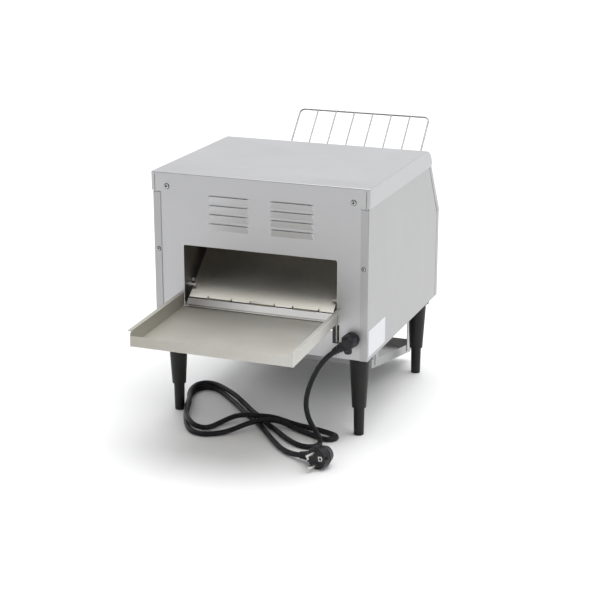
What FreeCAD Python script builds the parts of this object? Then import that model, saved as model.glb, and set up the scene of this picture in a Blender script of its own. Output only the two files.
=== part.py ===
"""Conveyor toaster that discharges at the back, as separate pieces, in millimetres.

Model axes: +X to the right seen from the discharge side, +Y from the discharge side towards the
loading side, +Z up.  The functions below work with Y = 0 on the rear panel and Z = 0 on the table;
export() moves everything so that the origin is the middle of the footprint.
"""
import FreeCAD
import Part
import math
import os

V = FreeCAD.Vector

# ---- driving dimensions -------------------------------------------------------------------
SHEET = 1.0                      # steel sheet thickness
BEND = 1.2                       # bend radius at mid thickness
BODY_HALF = 184.0                # half the width over the side panels
BODY_BOTTOM = 137.5
COVER_TOP = 417.6
COVER_HALF = 186.2
COVER_REAR = -2.2
SKIRT_BOTTOM = 386.4
COVER_FLAT_END = 300.0           # where the top starts to roll down at the front
ROLL_R = 37.0
ROLL_END = math.radians(18.0)    # direction of the lip from the roll's centre, above level

CHAMFER_TOP = (330.5, 396.6)     # outer face of the sloping loading panel, (y, z)
CHAMFER_BOTTOM = (394.5, 296.0)
FRONT_FACE = 393.0
WALL_INNER = 133.0               # half the width between the inner walls

OUTLET_HALF = 132.0
OUTLET_Z = (202.0, 299.0)
LOADING_HALF = 128.0
SLOT_X = (125.0, 136.0)
SLOT_Z = (162.0, 193.0)

LOUVRE_Z = (383.6, 368.5, 353.7, 338.5)
LOUVRE_SPANS = ((-87.0, -17.0), (19.0, 93.0))
LOUVRE_DEPTH = 2.4
LOUVRE_DROP = 10.5
LOUVRE_END = 4.0                 # length of the sloping end of a louvre
LOUVRE_SKIN = 0.8

PITCH_R = 20.0                   # belt pitch radius on its sprockets
TEETH = 8
BELT_RODS = 42
ROD_R = 1.1
BELT_HALF = 116.0
SHAFT_Z = 322.0
DRIVE_Y = 95.0
SPROCKET_TIP_R = PITCH_R - ROD_R - 0.5   # the teeth stop just under the belt's rods
SPROCKET_ROOT_R = 14.5
BELT_PITCH = 2 * math.pi * PITCH_R / TEETH
IDLER_Y = DRIVE_Y + (BELT_RODS - TEETH) * BELT_PITCH / 2
SHAFT_R = 6.0
BUSH_CLEARANCE = 0.05
SPROCKET_X = (-105.0, -35.0, 35.0, 105.0)
STRAND_X = (-114.0, -70.0, 0.0, 70.0, 114.0)

CHAIN_PITCH = 8.0
MOTOR_TEETH = 8
WHEEL_TEETH = 12
MOTOR_R = CHAIN_PITCH / (2 * math.sin(math.pi / MOTOR_TEETH))
WHEEL_R = CHAIN_PITCH / (2 * math.sin(math.pi / WHEEL_TEETH))
MOTOR_Z = 215.0
CHAIN_X = -141.5
OUTPUT_GEAR_R = 19.0             # gear on the output shaft, inside the gearbox
OUTPUT_GEAR_X = (-162.0, -152.0)

UPPER_TUBES = ((150.0, 378.0), (222.0, 378.0), (292.0, 378.0))
LOWER_TUBES = ((165.0, 321.0), (228.5, 321.0), (292.0, 321.0))
TUBE_R = 5.0
CAP_R = 7.0

RAMP_SLOPE = math.radians(41.0)
RAMP_HALF = 125.0
RAMP_START = (2.4, 211.6)        # lower end of the ramp's top face, (y, z)
RAMP_LENGTH = 118.0
RAMP_TABS = ((-91.0, -52.0), (-17.0, 23.0), (57.0, 99.0))
REST_STUD = (32.0, 230.9)        # carries the ramp from below
STOP_STUD = (14.0, 229.4)        # keeps the ramp from lifting off, just above it
LIP_HALF = 125.0

TRAY_HALF = 133.5
TRAY_END = -195.0
TRAY_FLOOR_END = 186.6           # underside of the rear tray's floor at its outer end
TRAY_RISE = 0.05                 # slope of that floor
TRAY_LIP = 6.0
TRAY_END_WALL = 17.4

LOWER_SLOPE = -0.186             # slope of the lower tray, falling to the front
LOWER_HALF = 134.0
LOWER_REAR = (172.0, 64.2)       # underside of the lower tray's floor at its rear end, (y, z)
LOWER_FRONT_Y = 409.0

LEG_X = 160.7
LEG_Y = (30.6, 348.4)
LEG_STEP_Z = 48.0
FOOT_R = 9.0
FOOT_BORE_R = 9.4

RACK_HALF = 126.0
RACK_TOP = (517.0, 434.5)
RACK_FOOT = (431.0, 343.5)       # where the sloping part bends in towards the body
RACK_LEG = (404.0, 280.4)        # lower end of the rack's legs
RACK_SHELF_Z = 335.0
WIRE_R = 1.6
INNER_WIRES = 6

FAN_Y = 250.0
KNOB_X = 62.0
KNOB_Z = 214.0

GLAND = (158.0, 172.0)           # x, z of the cord gland on the rear panel
CORD_R = 4.25
PLUG_FACE = (145.0, -130.0, 18.0)
PLUG_R = 17.8
PIN_DIRECTION = (-0.34, -0.94, 0.0)
PLUG_ROLL = math.radians(12.0)   # how far the cord's end of the plug dips
PLUG_REACH = 41.0                # from the plug's middle to the end of its strain relief
PLUG_SETBACK = 11.5              # from the pin face to the middle of the strain relief
GLAND_CENTRE = (158.0, -18.0, 172.0)
GLAND_REACH = 16.0
GLAND_EXIT = (-0.80, 0.0, -0.60)

Y_MID = (TRAY_END + RACK_TOP[0] + WIRE_R) / 2   # middle of the footprint


# ---- helpers ------------------------------------------------------------------------------
def box(x0, x1, y0, y1, z0, z1):
    """Block between two corners."""
    return Part.makeBox(x1 - x0, y1 - y0, z1 - z0, V(x0, y0, z0))


def rod(start, end, radius):
    """Round bar between two points."""
    start, end = V(*start), V(*end)
    return Part.makeCylinder(radius, (end - start).Length, start, end - start)


def cone(start, end, r0, r1):
    """Tapered round bar between two points."""
    start, end = V(*start), V(*end)
    return Part.makeCone(r0, r1, (end - start).Length, start, end - start)


def prism(points, x0, x1):
    """Outline of (y, z) points carried along X from x0 to x1."""
    loop = [V(x0, y, z) for y, z in points]
    face = Part.Face(Part.makePolygon(loop + loop[:1]))
    return face.extrude(V(x1 - x0, 0, 0))


def mirror_x(shape):
    """The same piece on the other side of the middle plane."""
    return shape.mirror(V(0, 0, 0), V(1, 0, 0))


def rounded_rect(x0, x1, y0, y1, z0, z1, radius):
    """Block with its four edges along Y rounded."""
    block = box(x0, x1, y0, y1, z0, z1)
    edges = [e for e in block.Edges if abs(e.tangentAt(e.FirstParameter).y) > 0.99]
    return block.makeFillet(radius, edges)


def bend_corners(points, radius):
    """Corner data of an open 2D path: tangent points, centre, arc middle and turn side."""
    corners = []
    for before, here, after in zip(points, points[1:], points[2:]):
        a, p, b = V(*before, 0), V(*here, 0), V(*after, 0)
        d_in = (p - a).normalize()
        d_out = (b - p).normalize()
        side = 1 if d_in.cross(d_out).z > 0 else -1
        reach = radius * math.tan(d_in.getAngle(d_out) / 2)
        start, end = p - d_in * reach, p + d_out * reach
        centre = start + V(-d_in.y, d_in.x, 0) * (side * radius)
        middle = centre + (p - centre).normalize() * radius
        corners.append((start, end, centre, middle, side))
    return corners


def folded(points, x0, x1, thickness=SHEET, bend=BEND):
    """Folded sheet: (y, z) path of its middle, given thickness, carried along X."""
    corners = bend_corners(points, bend)
    first, last = V(*points[0], 0), V(*points[-1], 0)
    d_first = (V(*points[1], 0) - first).normalize()
    d_last = (last - V(*points[-2], 0)).normalize()

    def flank(side):
        edges = []
        here = first + V(-d_first.y, d_first.x, 0) * (side * thickness / 2)
        for start, end, centre, middle, turn in corners:
            scale = (bend - side * turn * thickness / 2) / bend
            a, m, b = (centre + (q - centre) * scale for q in (start, middle, end))
            edges.append((here, a, None))
            edges.append((a, b, m))
            here = b
        edges.append((here, last + V(-d_last.y, d_last.x, 0) * (side * thickness / 2), None))
        return edges

    left, right = flank(1), flank(-1)
    loop = left + [(left[-1][1], right[-1][1], None)]
    loop += [(b, a, m) for a, b, m in reversed(right)] + [(right[0][0], left[0][0], None)]

    def place(p):
        return V(x0, p.x, p.y)

    edges = []
    for a, b, m in loop:
        if m is None:
            edges.append(Part.LineSegment(place(a), place(b)).toShape())
        else:
            edges.append(Part.Arc(place(a), place(m), place(b)).toShape())
    return Part.Face(Part.Wire(edges)).extrude(V(x1 - x0, 0, 0))


def belt_band(c0, r0, c1, r1, x0, x1):
    """Solid outline round two circles in the YZ plane, carried along X."""
    d = V(0, c1[0] - c0[0], c1[1] - c0[1])
    along = V(d).normalize()
    across = V(0, -along.z, along.y)
    lean = math.acos((r0 - r1) / d.Length)
    up = along * math.cos(lean) + across * math.sin(lean)
    down = along * math.cos(lean) - across * math.sin(lean)
    p0, p1 = V(x0, *c0), V(x0, *c1)
    edges = [Part.LineSegment(p0 + up * r0, p1 + up * r1).toShape(),
             Part.Arc(p1 + up * r1, p1 + along * r1, p1 + down * r1).toShape(),
             Part.LineSegment(p1 + down * r1, p0 + down * r0).toShape(),
             Part.Arc(p0 + down * r0, p0 - along * r0, p0 + up * r0).toShape()]
    return Part.Face(Part.Wire(edges)).extrude(V(x1 - x0, 0, 0))


def toothed_wheel(x0, x1, y, z, teeth, root_r, tip_r, bore_r, phase=0.0):
    """Toothed disc about an X axis; a tooth gap points at angle `phase` from +Y."""
    step = 2 * math.pi / teeth
    outline = []
    for k in range(teeth):
        gap = phase + k * step
        for share, radius in ((-0.24, root_r), (0.24, root_r), (0.40, tip_r), (0.60, tip_r)):
            angle = gap + share * step
            outline.append((y + radius * math.cos(angle), z + radius * math.sin(angle)))
    return prism(outline, x0, x1).cut(rod((x0 - 1, y, z), (x1 + 1, y, z), bore_r))


def screw(at, out, head_r=4.0, head_h=2.4, shank_r=1.9, shank=6.0):
    """Pan-head screw with a cross recess; `at` is where the head meets its sheet."""
    at, out = V(*at), V(*out).normalize()
    head = Part.makeCylinder(head_r, head_h, at, out)
    rim = head.Edges[0] if head.Edges[0].Curve.Center.sub(at).Length > 0.1 else head.Edges[2]
    head = head.makeFillet(head_h * 0.6, [rim])
    piece = head.fuse(Part.makeCylinder(shank_r, shank, at, -out))
    side = V(0, 0, 1) if abs(out.z) < 0.5 else V(1, 0, 0)
    other = out.cross(side)
    for a, b in ((side, other), (other, side)):
        bar = Part.makeBox(0.8, 3.6, 1.2)
        frame = FreeCAD.Matrix(a.x, b.x, out.x, 0, a.y, b.y, out.y, 0, a.z, b.z, out.z, 0, 0, 0, 0, 1)
        bar.translate(V(-0.4, -1.8, -0.6))
        bar = bar.transformGeometry(frame)
        bar.translate(at + out * head_h)
        piece = piece.cut(bar)
    return piece


def chamfer_point(z, inset=0.0):
    """Point of the sloping panel's outer face at height z, moved inwards square to it."""
    (y0, z0), (y1, z1) = CHAMFER_TOP, CHAMFER_BOTTOM
    slope = (y1 - y0) / (z1 - z0)
    length = math.hypot(y1 - y0, z1 - z0)
    return (y0 + slope * (z - z0) - inset * length / (z0 - z1), z)


# ---- casing -------------------------------------------------------------------------------
def base_plate():
    plate = box(-170.5, 170.5, 1.2, 391.6, BODY_BOTTOM, BODY_BOTTOM + SHEET)
    for x in range(-2, 3):
        slot = rounded_rect(x * 14.0 - 3.5, x * 14.0 + 3.5, 0, 1, -32, 32, 3.4)
        slot.rotate(V(0, 0, 0), V(1, 0, 0), 90)
        slot.translate(V(0, FAN_Y, BODY_BOTTOM + 1))
        plate = plate.cut(slot.fuse(slot.translated(V(0, 0, -0.9))))
    for x in (-LEG_X, LEG_X):
        for y in LEG_Y:
            plate = plate.cut(rod((x, y, BODY_BOTTOM - 2), (x, y, BODY_BOTTOM + 4), 4.2))
    return plate


def louvre_body(x0, x1, z, depth, drop, end):
    """Bulge of one louvre: open along its top, sloping to the sheet below and at both ends."""
    wedge = prism([(0, z - drop), (-depth, z), (0, z)], x0, x1)
    corners = [V(x0, 0, z - drop), V(x0 + end, -depth, z - drop), V(x1 - end, -depth, z - drop),
               V(x1, 0, z - drop), V(x0, 0, z - drop)]
    plan = Part.Face(Part.makePolygon(corners)).extrude(V(0, 0, drop))
    body = wedge.common(plan)
    hips = [e for e in body.Edges if e.BoundBox.YLength > 0.9 * depth and e.BoundBox.ZLength > 0.9 * drop]
    return body.makeFillet(0.45 * end, hips)


def rear_panel():
    panel = box(-182.6, 182.6, 0, SHEET, BODY_BOTTOM + 0.4, 415)
    panel = panel.cut(rounded_rect(-OUTLET_HALF, OUTLET_HALF, -1, 3, *OUTLET_Z, 3.0))
    slot = rounded_rect(*SLOT_X, -1, 3, *SLOT_Z, 1.5)
    panel = panel.cut([slot, mirror_x(slot)])
    panel = panel.cut(rod((GLAND[0], -2, GLAND[1]), (GLAND[0], 4, GLAND[1]), 8.2))
    for x0, x1 in LOUVRE_SPANS:
        for z in LOUVRE_Z:
            outer = louvre_body(x0, x1, z, LOUVRE_DEPTH, LOUVRE_DROP, LOUVRE_END)
            end = 2 * LOUVRE_SKIN
            inner = louvre_body(x0 + end, x1 - end, z, LOUVRE_DEPTH - LOUVRE_SKIN, LOUVRE_DROP - 2.6,
                                LOUVRE_END)
            window = inner.fuse(box(x0 + 6, x1 - 6, -0.01, 2, z - 6, z))
            panel = panel.fuse(outer).cut(window)
    for x in (-159.0, 159.0):
        panel = panel.cut(rod((x, -2, 394.4), (x, 4, 394.4), 2.1))
    for x in (-176.0, 176.0):
        panel = panel.cut(rod((x, -2, 289), (x, 4, 289), 1.7))
    return panel


def side_panel():
    """Right side panel with its rear and bottom flanges."""
    outline = [(-1.1, BODY_BOTTOM), (-1.1, 384.0), (0.3, 384.0), (0.3, 414.5), (306, 414.5),
               (320.5, 391), (379, 294.0), (379, BODY_BOTTOM)]
    panel = prism(outline, BODY_HALF - SHEET, BODY_HALF)
    panel = panel.fuse(box(171, 183.5, -1.1, -0.1, BODY_BOTTOM, 384.0))
    panel = panel.fuse(box(171, 183.5, 1.2, 376, BODY_BOTTOM, BODY_BOTTOM + SHEET))
    tip = box(BODY_HALF - 0.9, BODY_HALF + 1, -2, -0.2, BODY_BOTTOM - 1, 384.0)
    tip = tip.cut(rod((BODY_HALF - 0.9, -0.2, 100), (BODY_HALF - 0.9, -0.2, 400), 0.9))
    panel = panel.cut(tip)
    return panel.cut(rod((176, -3, 289), (176, 3, 289), 1.7))


def cover_outline(inset, low, front):
    """Closed (y, z) outline of the cover moved inwards, down to `low` and out to `front`."""
    corner = 2.0
    y0, top = COVER_REAR + inset, COVER_TOP - inset
    centre = V(0, COVER_FLAT_END, COVER_TOP - ROLL_R)
    radius = ROLL_R - inset
    bend = max(corner - inset, 0.3)

    def on_roll(angle):
        return centre + V(0, math.cos(angle), math.sin(angle)) * radius

    lip = on_roll(ROLL_END)
    corner_mid = V(0, y0 + bend * (1 - math.sqrt(0.5)), top - bend * (1 - math.sqrt(0.5)))
    edges = [Part.LineSegment(V(0, y0, low), V(0, y0, top - bend)).toShape(),
             Part.Arc(V(0, y0, top - bend), corner_mid, V(0, y0 + bend, top)).toShape(),
             Part.LineSegment(V(0, y0 + bend, top), V(0, COVER_FLAT_END, top)).toShape(),
             Part.Arc(V(0, COVER_FLAT_END, top), on_roll(math.radians(55)), lip).toShape()]
    tail = [lip] + [V(0, *p) for p in front] + [V(0, y0, low)]
    edges += [Part.LineSegment(a, b).toShape() for a, b in zip(tail, tail[1:])]
    return Part.Face(Part.Wire(edges))


def top_cover():
    """Top sheet with a rolled front and skirts at the back and both sides."""
    outer = cover_outline(0, SKIRT_BOTTOM, [(330.5, SKIRT_BOTTOM)])
    inner = cover_outline(SHEET, SKIRT_BOTTOM - 6, [(338, 388), (338, SKIRT_BOTTOM - 6)])
    outer = outer.extrude(V(2 * COVER_HALF, 0, 0)).translated(V(-COVER_HALF, 0, 0))
    top_edges = [e for e in outer.Edges if e.BoundBox.XLength < 0.01 and e.BoundBox.ZMax > 392.5
                 and e.BoundBox.YLength > 20]
    outer = outer.makeFillet(1.6, top_edges)
    half = COVER_HALF - SHEET
    inner = inner.extrude(V(2 * half, 0, 0)).translated(V(-half, 0, 0))
    cover = outer.cut(inner)
    seam = box(179.4, 180.3, COVER_REAR - 1, COVER_REAR + 2, SKIRT_BOTTOM - 1, COVER_TOP - 4)
    cover = cover.cut([seam, mirror_x(seam)])
    for x in (-159.0, 159.0):
        cover = cover.cut(rod((x, -4, 394.4), (x, 2, 394.4), 2.1))
    return cover


def loading_panel():
    """Sloping front panel with the loading opening and side returns."""
    top, bottom = chamfer_point(394.0), chamfer_point(296.6)
    face = prism([top, bottom, chamfer_point(296.6, SHEET), chamfer_point(394.0, SHEET)],
                 -BODY_HALF, BODY_HALF)
    side = prism([top, bottom, (bottom[0] - 14, 296.6), (top[0] - 11.5, 394.0)],
                 BODY_HALF - SHEET, BODY_HALF)
    panel = face.fuse([side, mirror_x(side)])
    high, low = chamfer_point(384.0, -3), chamfer_point(302.0, -3)
    opening = prism([high, low, chamfer_point(302.0, 6), chamfer_point(384.0, 6)],
                    -LOADING_HALF, LOADING_HALF)
    hem = prism([chamfer_point(302.0), chamfer_point(302.0, 8), chamfer_point(300.9, 8),
                 chamfer_point(300.9)], -LOADING_HALF, LOADING_HALF)
    return panel.cut(opening).fuse(hem)


def front_panel():
    """Upright control panel with side returns."""
    panel = box(-BODY_HALF, BODY_HALF, FRONT_FACE - SHEET, FRONT_FACE, BODY_BOTTOM, 296)
    side = box(BODY_HALF - SHEET, BODY_HALF, 380.5, FRONT_FACE - SHEET, BODY_BOTTOM, 296)
    panel = panel.fuse([side, mirror_x(side)])
    for x in (-KNOB_X, KNOB_X):
        panel = panel.cut(rod((x, 380, KNOB_Z), (x, 400, KNOB_Z), 4.5))
    for x in (-14.0, 14.0):
        panel = panel.cut(rod((x, 380, 252), (x, 400, 252), 5.2))
    return panel


def inner_wall():
    """Right wall between the toasting space and the side compartment."""
    outline = [(2, 139.2), (2, 410), (314, 410), chamfer_point(390.0, 3.0), chamfer_point(300.0, 3.0),
               (389.0, 296), (389.0, 139.2)]
    wall = prism(outline, WALL_INNER, WALL_INNER + SHEET)
    wall = wall.fuse(box(WALL_INNER + SHEET, 146, 2, 3, 139.2, 190).cut(
        rod((GLAND[0], 0, GLAND[1]), (GLAND[0], 9, GLAND[1]), 14)))
    for y in (DRIVE_Y, IDLER_Y):
        wall = wall.cut(rod((120, y, SHAFT_Z), (150, y, SHAFT_Z), 8.1))
    for y, z in UPPER_TUBES + LOWER_TUBES:
        wall = wall.cut(rod((120, y, z), (150, y, z), CAP_R + 0.15))
    hook_notch = box(132, 136, 0, 14, 160, 196)
    holes = [rod((120, *REST_STUD), (150, *REST_STUD), 3.1), rod((120, *STOP_STUD), (150, *STOP_STUD), 2.6)]
    return wall.cut(holes + [hook_notch])


def upper_reflector():
    return folded([(110, 368), (119, 396), (314, 396), (323, 386)], -WALL_INNER + 0.3, WALL_INNER - 0.3)


def lower_reflector():
    return folded([(142, 316), (150, 309), (306, 309), (314, 316)], -WALL_INNER + 0.3, WALL_INNER - 0.3)


def outlet_lip():
    """Bevelled lip over the bottom edge of the outlet; it carries the ramp's lower edge."""
    path = [(5.5, 208.2), (-0.8, 210.6), (-9.4, 201.2), (-3.4, 199.4), (-0.7, 197.0), (-0.7, 183.0)]
    lip = folded(path, -LIP_HALF, LIP_HALF, 0.9, 0.8)
    for x in (-100.0, 0.0, 100.0):
        lip = lip.fuse(rod((x, -1.9, 189.5), (x, -1.0, 189.5), 2.5))
    return lip


# ---- toast ramp and trays -----------------------------------------------------------------
def ramp_point(along, square=0.0):
    """(y, z) of the ramp: distance up its top face, and height square to it."""
    c, s = math.cos(RAMP_SLOPE), math.sin(RAMP_SLOPE)
    return (RAMP_START[0] + along * c - square * s, RAMP_START[1] + along * s + square * c)


def toast_ramp():
    """Sloping slide that turns the toast out of the back; tabs on its lower edge rest on the lip."""
    thick = 0.9
    path = [ramp_point(0, -thick / 2), ramp_point(RAMP_LENGTH, -thick / 2),
            ramp_point(RAMP_LENGTH + 1, -9)]
    ramp = folded(path, -RAMP_HALF, RAMP_HALF, thick)
    y, z = RAMP_START
    notch_wide, notch_deep = 2.2, 3.2
    for x0, x1 in RAMP_TABS:
        for x in (x0 - notch_wide, x1):
            ramp = ramp.cut(prism([(y - 1, z - 2), (y - 1, z + 4), (y + notch_deep, z + 4),
                                   (y + notch_deep, z - 2)], x, x + notch_wide))
        tab = prism([(y + 1.0, z + 0.8), (y + 0.1, z + 0.3), (y - 4.2, z + 0.2), (y - 4.2, z - 0.35),
                     (y + 0.8, z - 0.35)], x0, x1)
        ramp = ramp.fuse(tab)
    flange = prism([ramp_point(48, -0.4), ramp_point(RAMP_LENGTH - 6, -0.4),
                    ramp_point(RAMP_LENGTH - 12, -7), ramp_point(56, -7)], RAMP_HALF - 0.9, RAMP_HALF)
    return ramp.fuse([flange, mirror_x(flange)])


def ramp_studs():
    """Studs with nuts on each inner wall: one carries the ramp, the other stops it from lifting off."""
    y, z = REST_STUD
    rest = rod((113.5, y, z), (139, y, z), 3.0)
    rest = rest.fuse([hexagon(127.5, 131.5, y, z, 5.5), hexagon(134.0, 138.0, y, z, 5.5)])
    y, z = STOP_STUD
    stop = rod((120.5, y, z), (139, y, z), 2.5)
    stop = stop.fuse([Part.makeSphere(2.5, V(120.5, y, z)), hexagon(126.5, 130.5, y, z, 5.0),
                      hexagon(134.0, 137.5, y, z, 5.0)])
    return Part.makeCompound([rest, stop, mirror_x(rest), mirror_x(stop)])


def hexagon(x0, x1, y, z, radius):
    """Six-sided nut about an X axis."""
    points = [(y + radius * math.cos(math.radians(a)), z + radius * math.sin(math.radians(a)))
              for a in range(0, 360, 60)]
    return prism(points, x0, x1)


def tray_floor_z(y):
    """Top face of the rear tray's floor."""
    return TRAY_FLOOR_END + SHEET + (y - TRAY_END) * TRAY_RISE


def rear_tray():
    """Toast tray: floor, end wall, side walls with turned-out lips, and hook tabs."""
    inner_y = -3.2
    near = TRAY_END + SHEET / 2
    mid = SHEET / 2
    floor = folded([(near, tray_floor_z(near) - SHEET + TRAY_END_WALL), (near, tray_floor_z(near) - mid),
                    (inner_y, tray_floor_z(inner_y) - mid)], -TRAY_HALF, TRAY_HALF)
    low_end = tray_floor_z(TRAY_END) - SHEET
    low_in = tray_floor_z(inner_y) - SHEET
    top_end, top_in = low_end + 24.5, 219.0
    wall = prism([(TRAY_END, low_end), (inner_y, low_in), (-1.6, low_in), (-1.6, 219.0),
                  (inner_y, top_in), (TRAY_END + 5, top_end), (TRAY_END + 1.5, top_end - 2.5),
                  (TRAY_END, low_end + TRAY_END_WALL)], TRAY_HALF - SHEET, TRAY_HALF)
    lip_end = TRAY_END + 4
    lip = prism([(lip_end, top_end - SHEET), (-1.6, top_in - SHEET), (-1.6, top_in), (lip_end, top_end)],
                TRAY_HALF - 0.2, TRAY_HALF + TRAY_LIP)
    hook = prism([(-1.6, low_in + 3), (-6.5, low_in + 3), (-4.5, low_in - 2), (-4.5, 190), (-4.5, 166),
                  (9.5, 166), (9.5, 190), (-1.6, 190)], TRAY_HALF - SHEET, TRAY_HALF)
    side = wall.fuse([lip, hook])
    end_fold = box(TRAY_HALF - 12, TRAY_HALF - 0.2, TRAY_END + SHEET, TRAY_END + 2 * SHEET,
                   low_end + 1.6, low_end + TRAY_END_WALL - 0.5)
    return floor.fuse([side, mirror_x(side), end_fold, mirror_x(end_fold)]).removeSplitter()


def lower_floor_z(y, above=0.0):
    """Height of a line parallel to the lower tray's floor."""
    return LOWER_REAR[1] + (y - LOWER_REAR[0]) * LOWER_SLOPE + above


def lower_tray():
    """Shallow sloping tray under the body."""
    y0, y1 = LOWER_REAR[0], LOWER_FRONT_Y
    mid = SHEET / 2
    floor = folded([(y0, lower_floor_z(y0, 12)), (y0, lower_floor_z(y0, mid)),
                    (y1, lower_floor_z(y1, mid)), (y1, lower_floor_z(y1, 19.5))], -LOWER_HALF, LOWER_HALF)
    wall = prism([(y0, lower_floor_z(y0)), (y1, lower_floor_z(y1)), (y1, lower_floor_z(y1, 19)),
                  (y1 - 9, lower_floor_z(y1 - 9, 12.5)), (y0, lower_floor_z(y0, 12.5))],
                 LOWER_HALF - SHEET, LOWER_HALF)
    return floor.fuse([wall, mirror_x(wall)]).removeSplitter()


def tray_rail():
    """Right hanging rail of the lower tray, with two straps up to the base."""
    y0, y1 = LOWER_REAR[0] - 1.0, LOWER_FRONT_Y - 14
    x0 = LOWER_HALF + 0.5
    web = prism([(y0, lower_floor_z(y0, -1.8)), (y1, lower_floor_z(y1, -1.8)),
                 (y1, lower_floor_z(y1, 13.5)), (y0, lower_floor_z(y0, 13.5))], x0, x0 + 1.2)
    foot = prism([(y0, lower_floor_z(y0, -1.8)), (y1, lower_floor_z(y1, -1.8)),
                  (y1, lower_floor_z(y1, -0.5)), (y0, lower_floor_z(y0, -0.5))], x0 - 9, x0 + 1.2)
    stop = box(x0 - 9, x0 + 1.2, y0 - 1.2, y0, lower_floor_z(y0, -1.6), lower_floor_z(y0, 13.2))
    rail = web.fuse([foot, stop])
    for y in (186.0, 372.0):
        strap = box(x0 + 1.2, x0 + 2.4, y, y + 14, lower_floor_z(y, 2), BODY_BOTTOM - 0.1)
        tab = box(x0 + 1.2, x0 + 14, y, y + 14, BODY_BOTTOM - 1.3, BODY_BOTTOM - 0.1)
        rail = rail.fuse([strap, tab])
    return rail


# ---- loading rack -------------------------------------------------------------------------
def loading_rack():
    """Wire rack that feeds the bread: a bent frame, two cross bars and wires that lie on them."""
    (yt, zt), (yf, zf), (yl, zl) = RACK_TOP, RACK_FOOT, RACK_LEG
    run = math.hypot(yt - yf, zt - zf)
    uy, uz = (yt - yf) / run, (zt - zf) / run
    corner = 9.0
    left = [(-RACK_HALF, yl, zl), (-RACK_HALF, yl, RACK_SHELF_Z), (-RACK_HALF, yf, zf), (-RACK_HALF, yt, zt)]
    frame = swept_wire(left + [(-x, y, z) for x, y, z in reversed(left)], WIRE_R, corner)
    rack = frame
    for y, z in ((yl + 3, RACK_SHELF_Z + 0.9), (yf + 14 * uy, zf + 14 * uz)):
        rack = rack.fuse(rod((-RACK_HALF, y, z), (RACK_HALF, y, z), WIRE_R))
    gap = 2 * RACK_HALF / (INNER_WIRES + 1)
    lift = WIRE_R * 1.5
    for k in range(1, INNER_WIRES + 1):
        x = -RACK_HALF + k * gap
        wire = [(x, yl - 6, RACK_SHELF_Z - 1.0 + lift), (x, yf - uz * lift, zf + uy * lift),
                (x, yt - uz * lift, zt + uy * lift)]
        rack = rack.fuse(swept_wire(wire, WIRE_R * 0.8, corner))
    return rack


def swept_wire(points, radius, corner):
    """Round wire along straight runs joined by tangent arcs."""
    def rule(shorter, turn):
        return min(corner, 0.45 * shorter / math.tan(turn / 2))

    edges = arc_path([V(*p) for p in points], rule)
    start = edges[0].Vertexes[0].Point
    profile = Part.Wire([Part.makeCircle(radius, start, edges[0].tangentAt(edges[0].FirstParameter))])
    return Part.Wire(edges).makePipeShell([profile], True, False)


def arc_path(points, radius_rule):
    """Edges of a path: straight runs joined by tangent arcs whose radius the rule gives."""
    edges = []
    here = points[0]
    for before, corner, after in zip(points, points[1:], points[2:]):
        d_in, d_out = corner - before, after - corner
        turn = d_in.getAngle(d_out)
        radius = radius_rule(min(d_in.Length, d_out.Length), turn)
        reach = radius * math.tan(turn / 2)
        d_in.normalize()
        d_out.normalize()
        start, end = corner - d_in * reach, corner + d_out * reach
        inward = (d_out - d_in).normalize()
        middle = corner + inward * (radius / math.cos(turn / 2) - radius)
        edges.append(Part.LineSegment(here, start).toShape())
        edges.append(Part.Arc(start, middle, end).toShape())
        here = end
    edges.append(Part.LineSegment(here, points[-1]).toShape())
    return edges


def rack_sockets():
    """Pair of sockets on the front that the rack's legs drop into."""
    y, bottom = RACK_LEG[0], RACK_LEG[1] - 2.4
    socket = rod((RACK_HALF, y, bottom), (RACK_HALF, y, bottom + 20), 4.0)
    socket = socket.cut(rod((RACK_HALF, y, bottom + 2), (RACK_HALF, y, bottom + 21), 2.2))
    plate = box(RACK_HALF - 4, RACK_HALF + 10, FRONT_FACE, FRONT_FACE + 1.5, 276, 295.5)
    web = box(RACK_HALF - 1.5, RACK_HALF + 1.5, FRONT_FACE + 1, 400.6, 278, 295)
    right = socket.fuse([plate, web])
    return Part.makeCompound([right, mirror_x(right)])


# ---- conveyor -----------------------------------------------------------------------------
def belt_places():
    """(y, z) of each cross rod, evenly round the belt's pitch line."""
    run = IDLER_Y - DRIVE_Y
    wrap = math.pi * PITCH_R
    places = []
    for k in range(BELT_RODS):
        s = k * BELT_PITCH
        if s < run:
            places.append((DRIVE_Y + s, SHAFT_Z + PITCH_R))
        elif s < run + wrap:
            angle = math.pi / 2 - (s - run) / PITCH_R
            places.append((IDLER_Y + PITCH_R * math.cos(angle), SHAFT_Z + PITCH_R * math.sin(angle)))
        elif s < 2 * run + wrap:
            places.append((IDLER_Y - (s - run - wrap), SHAFT_Z - PITCH_R))
        else:
            angle = -math.pi / 2 - (s - 2 * run - wrap) / PITCH_R
            places.append((DRIVE_Y + PITCH_R * math.cos(angle), SHAFT_Z + PITCH_R * math.sin(angle)))
    return places


def conveyor_belt():
    """Ladder belt: cross rods joined by narrow endless strands."""
    strands = []
    for x in STRAND_X:
        drive, idler = (DRIVE_Y, SHAFT_Z), (IDLER_Y, SHAFT_Z)
        outer = belt_band(drive, PITCH_R + 0.5, idler, PITCH_R + 0.501, x - 1.5, x + 1.5)
        inner = belt_band(drive, PITCH_R - 0.5, idler, PITCH_R - 0.499, x - 2, x + 2)
        strands.append(outer.cut(inner))
    rods = [rod((-BELT_HALF, y, z), (BELT_HALF, y, z), ROD_R) for y, z in belt_places()]
    return strands[0].fuse(strands[1:] + rods)


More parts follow.
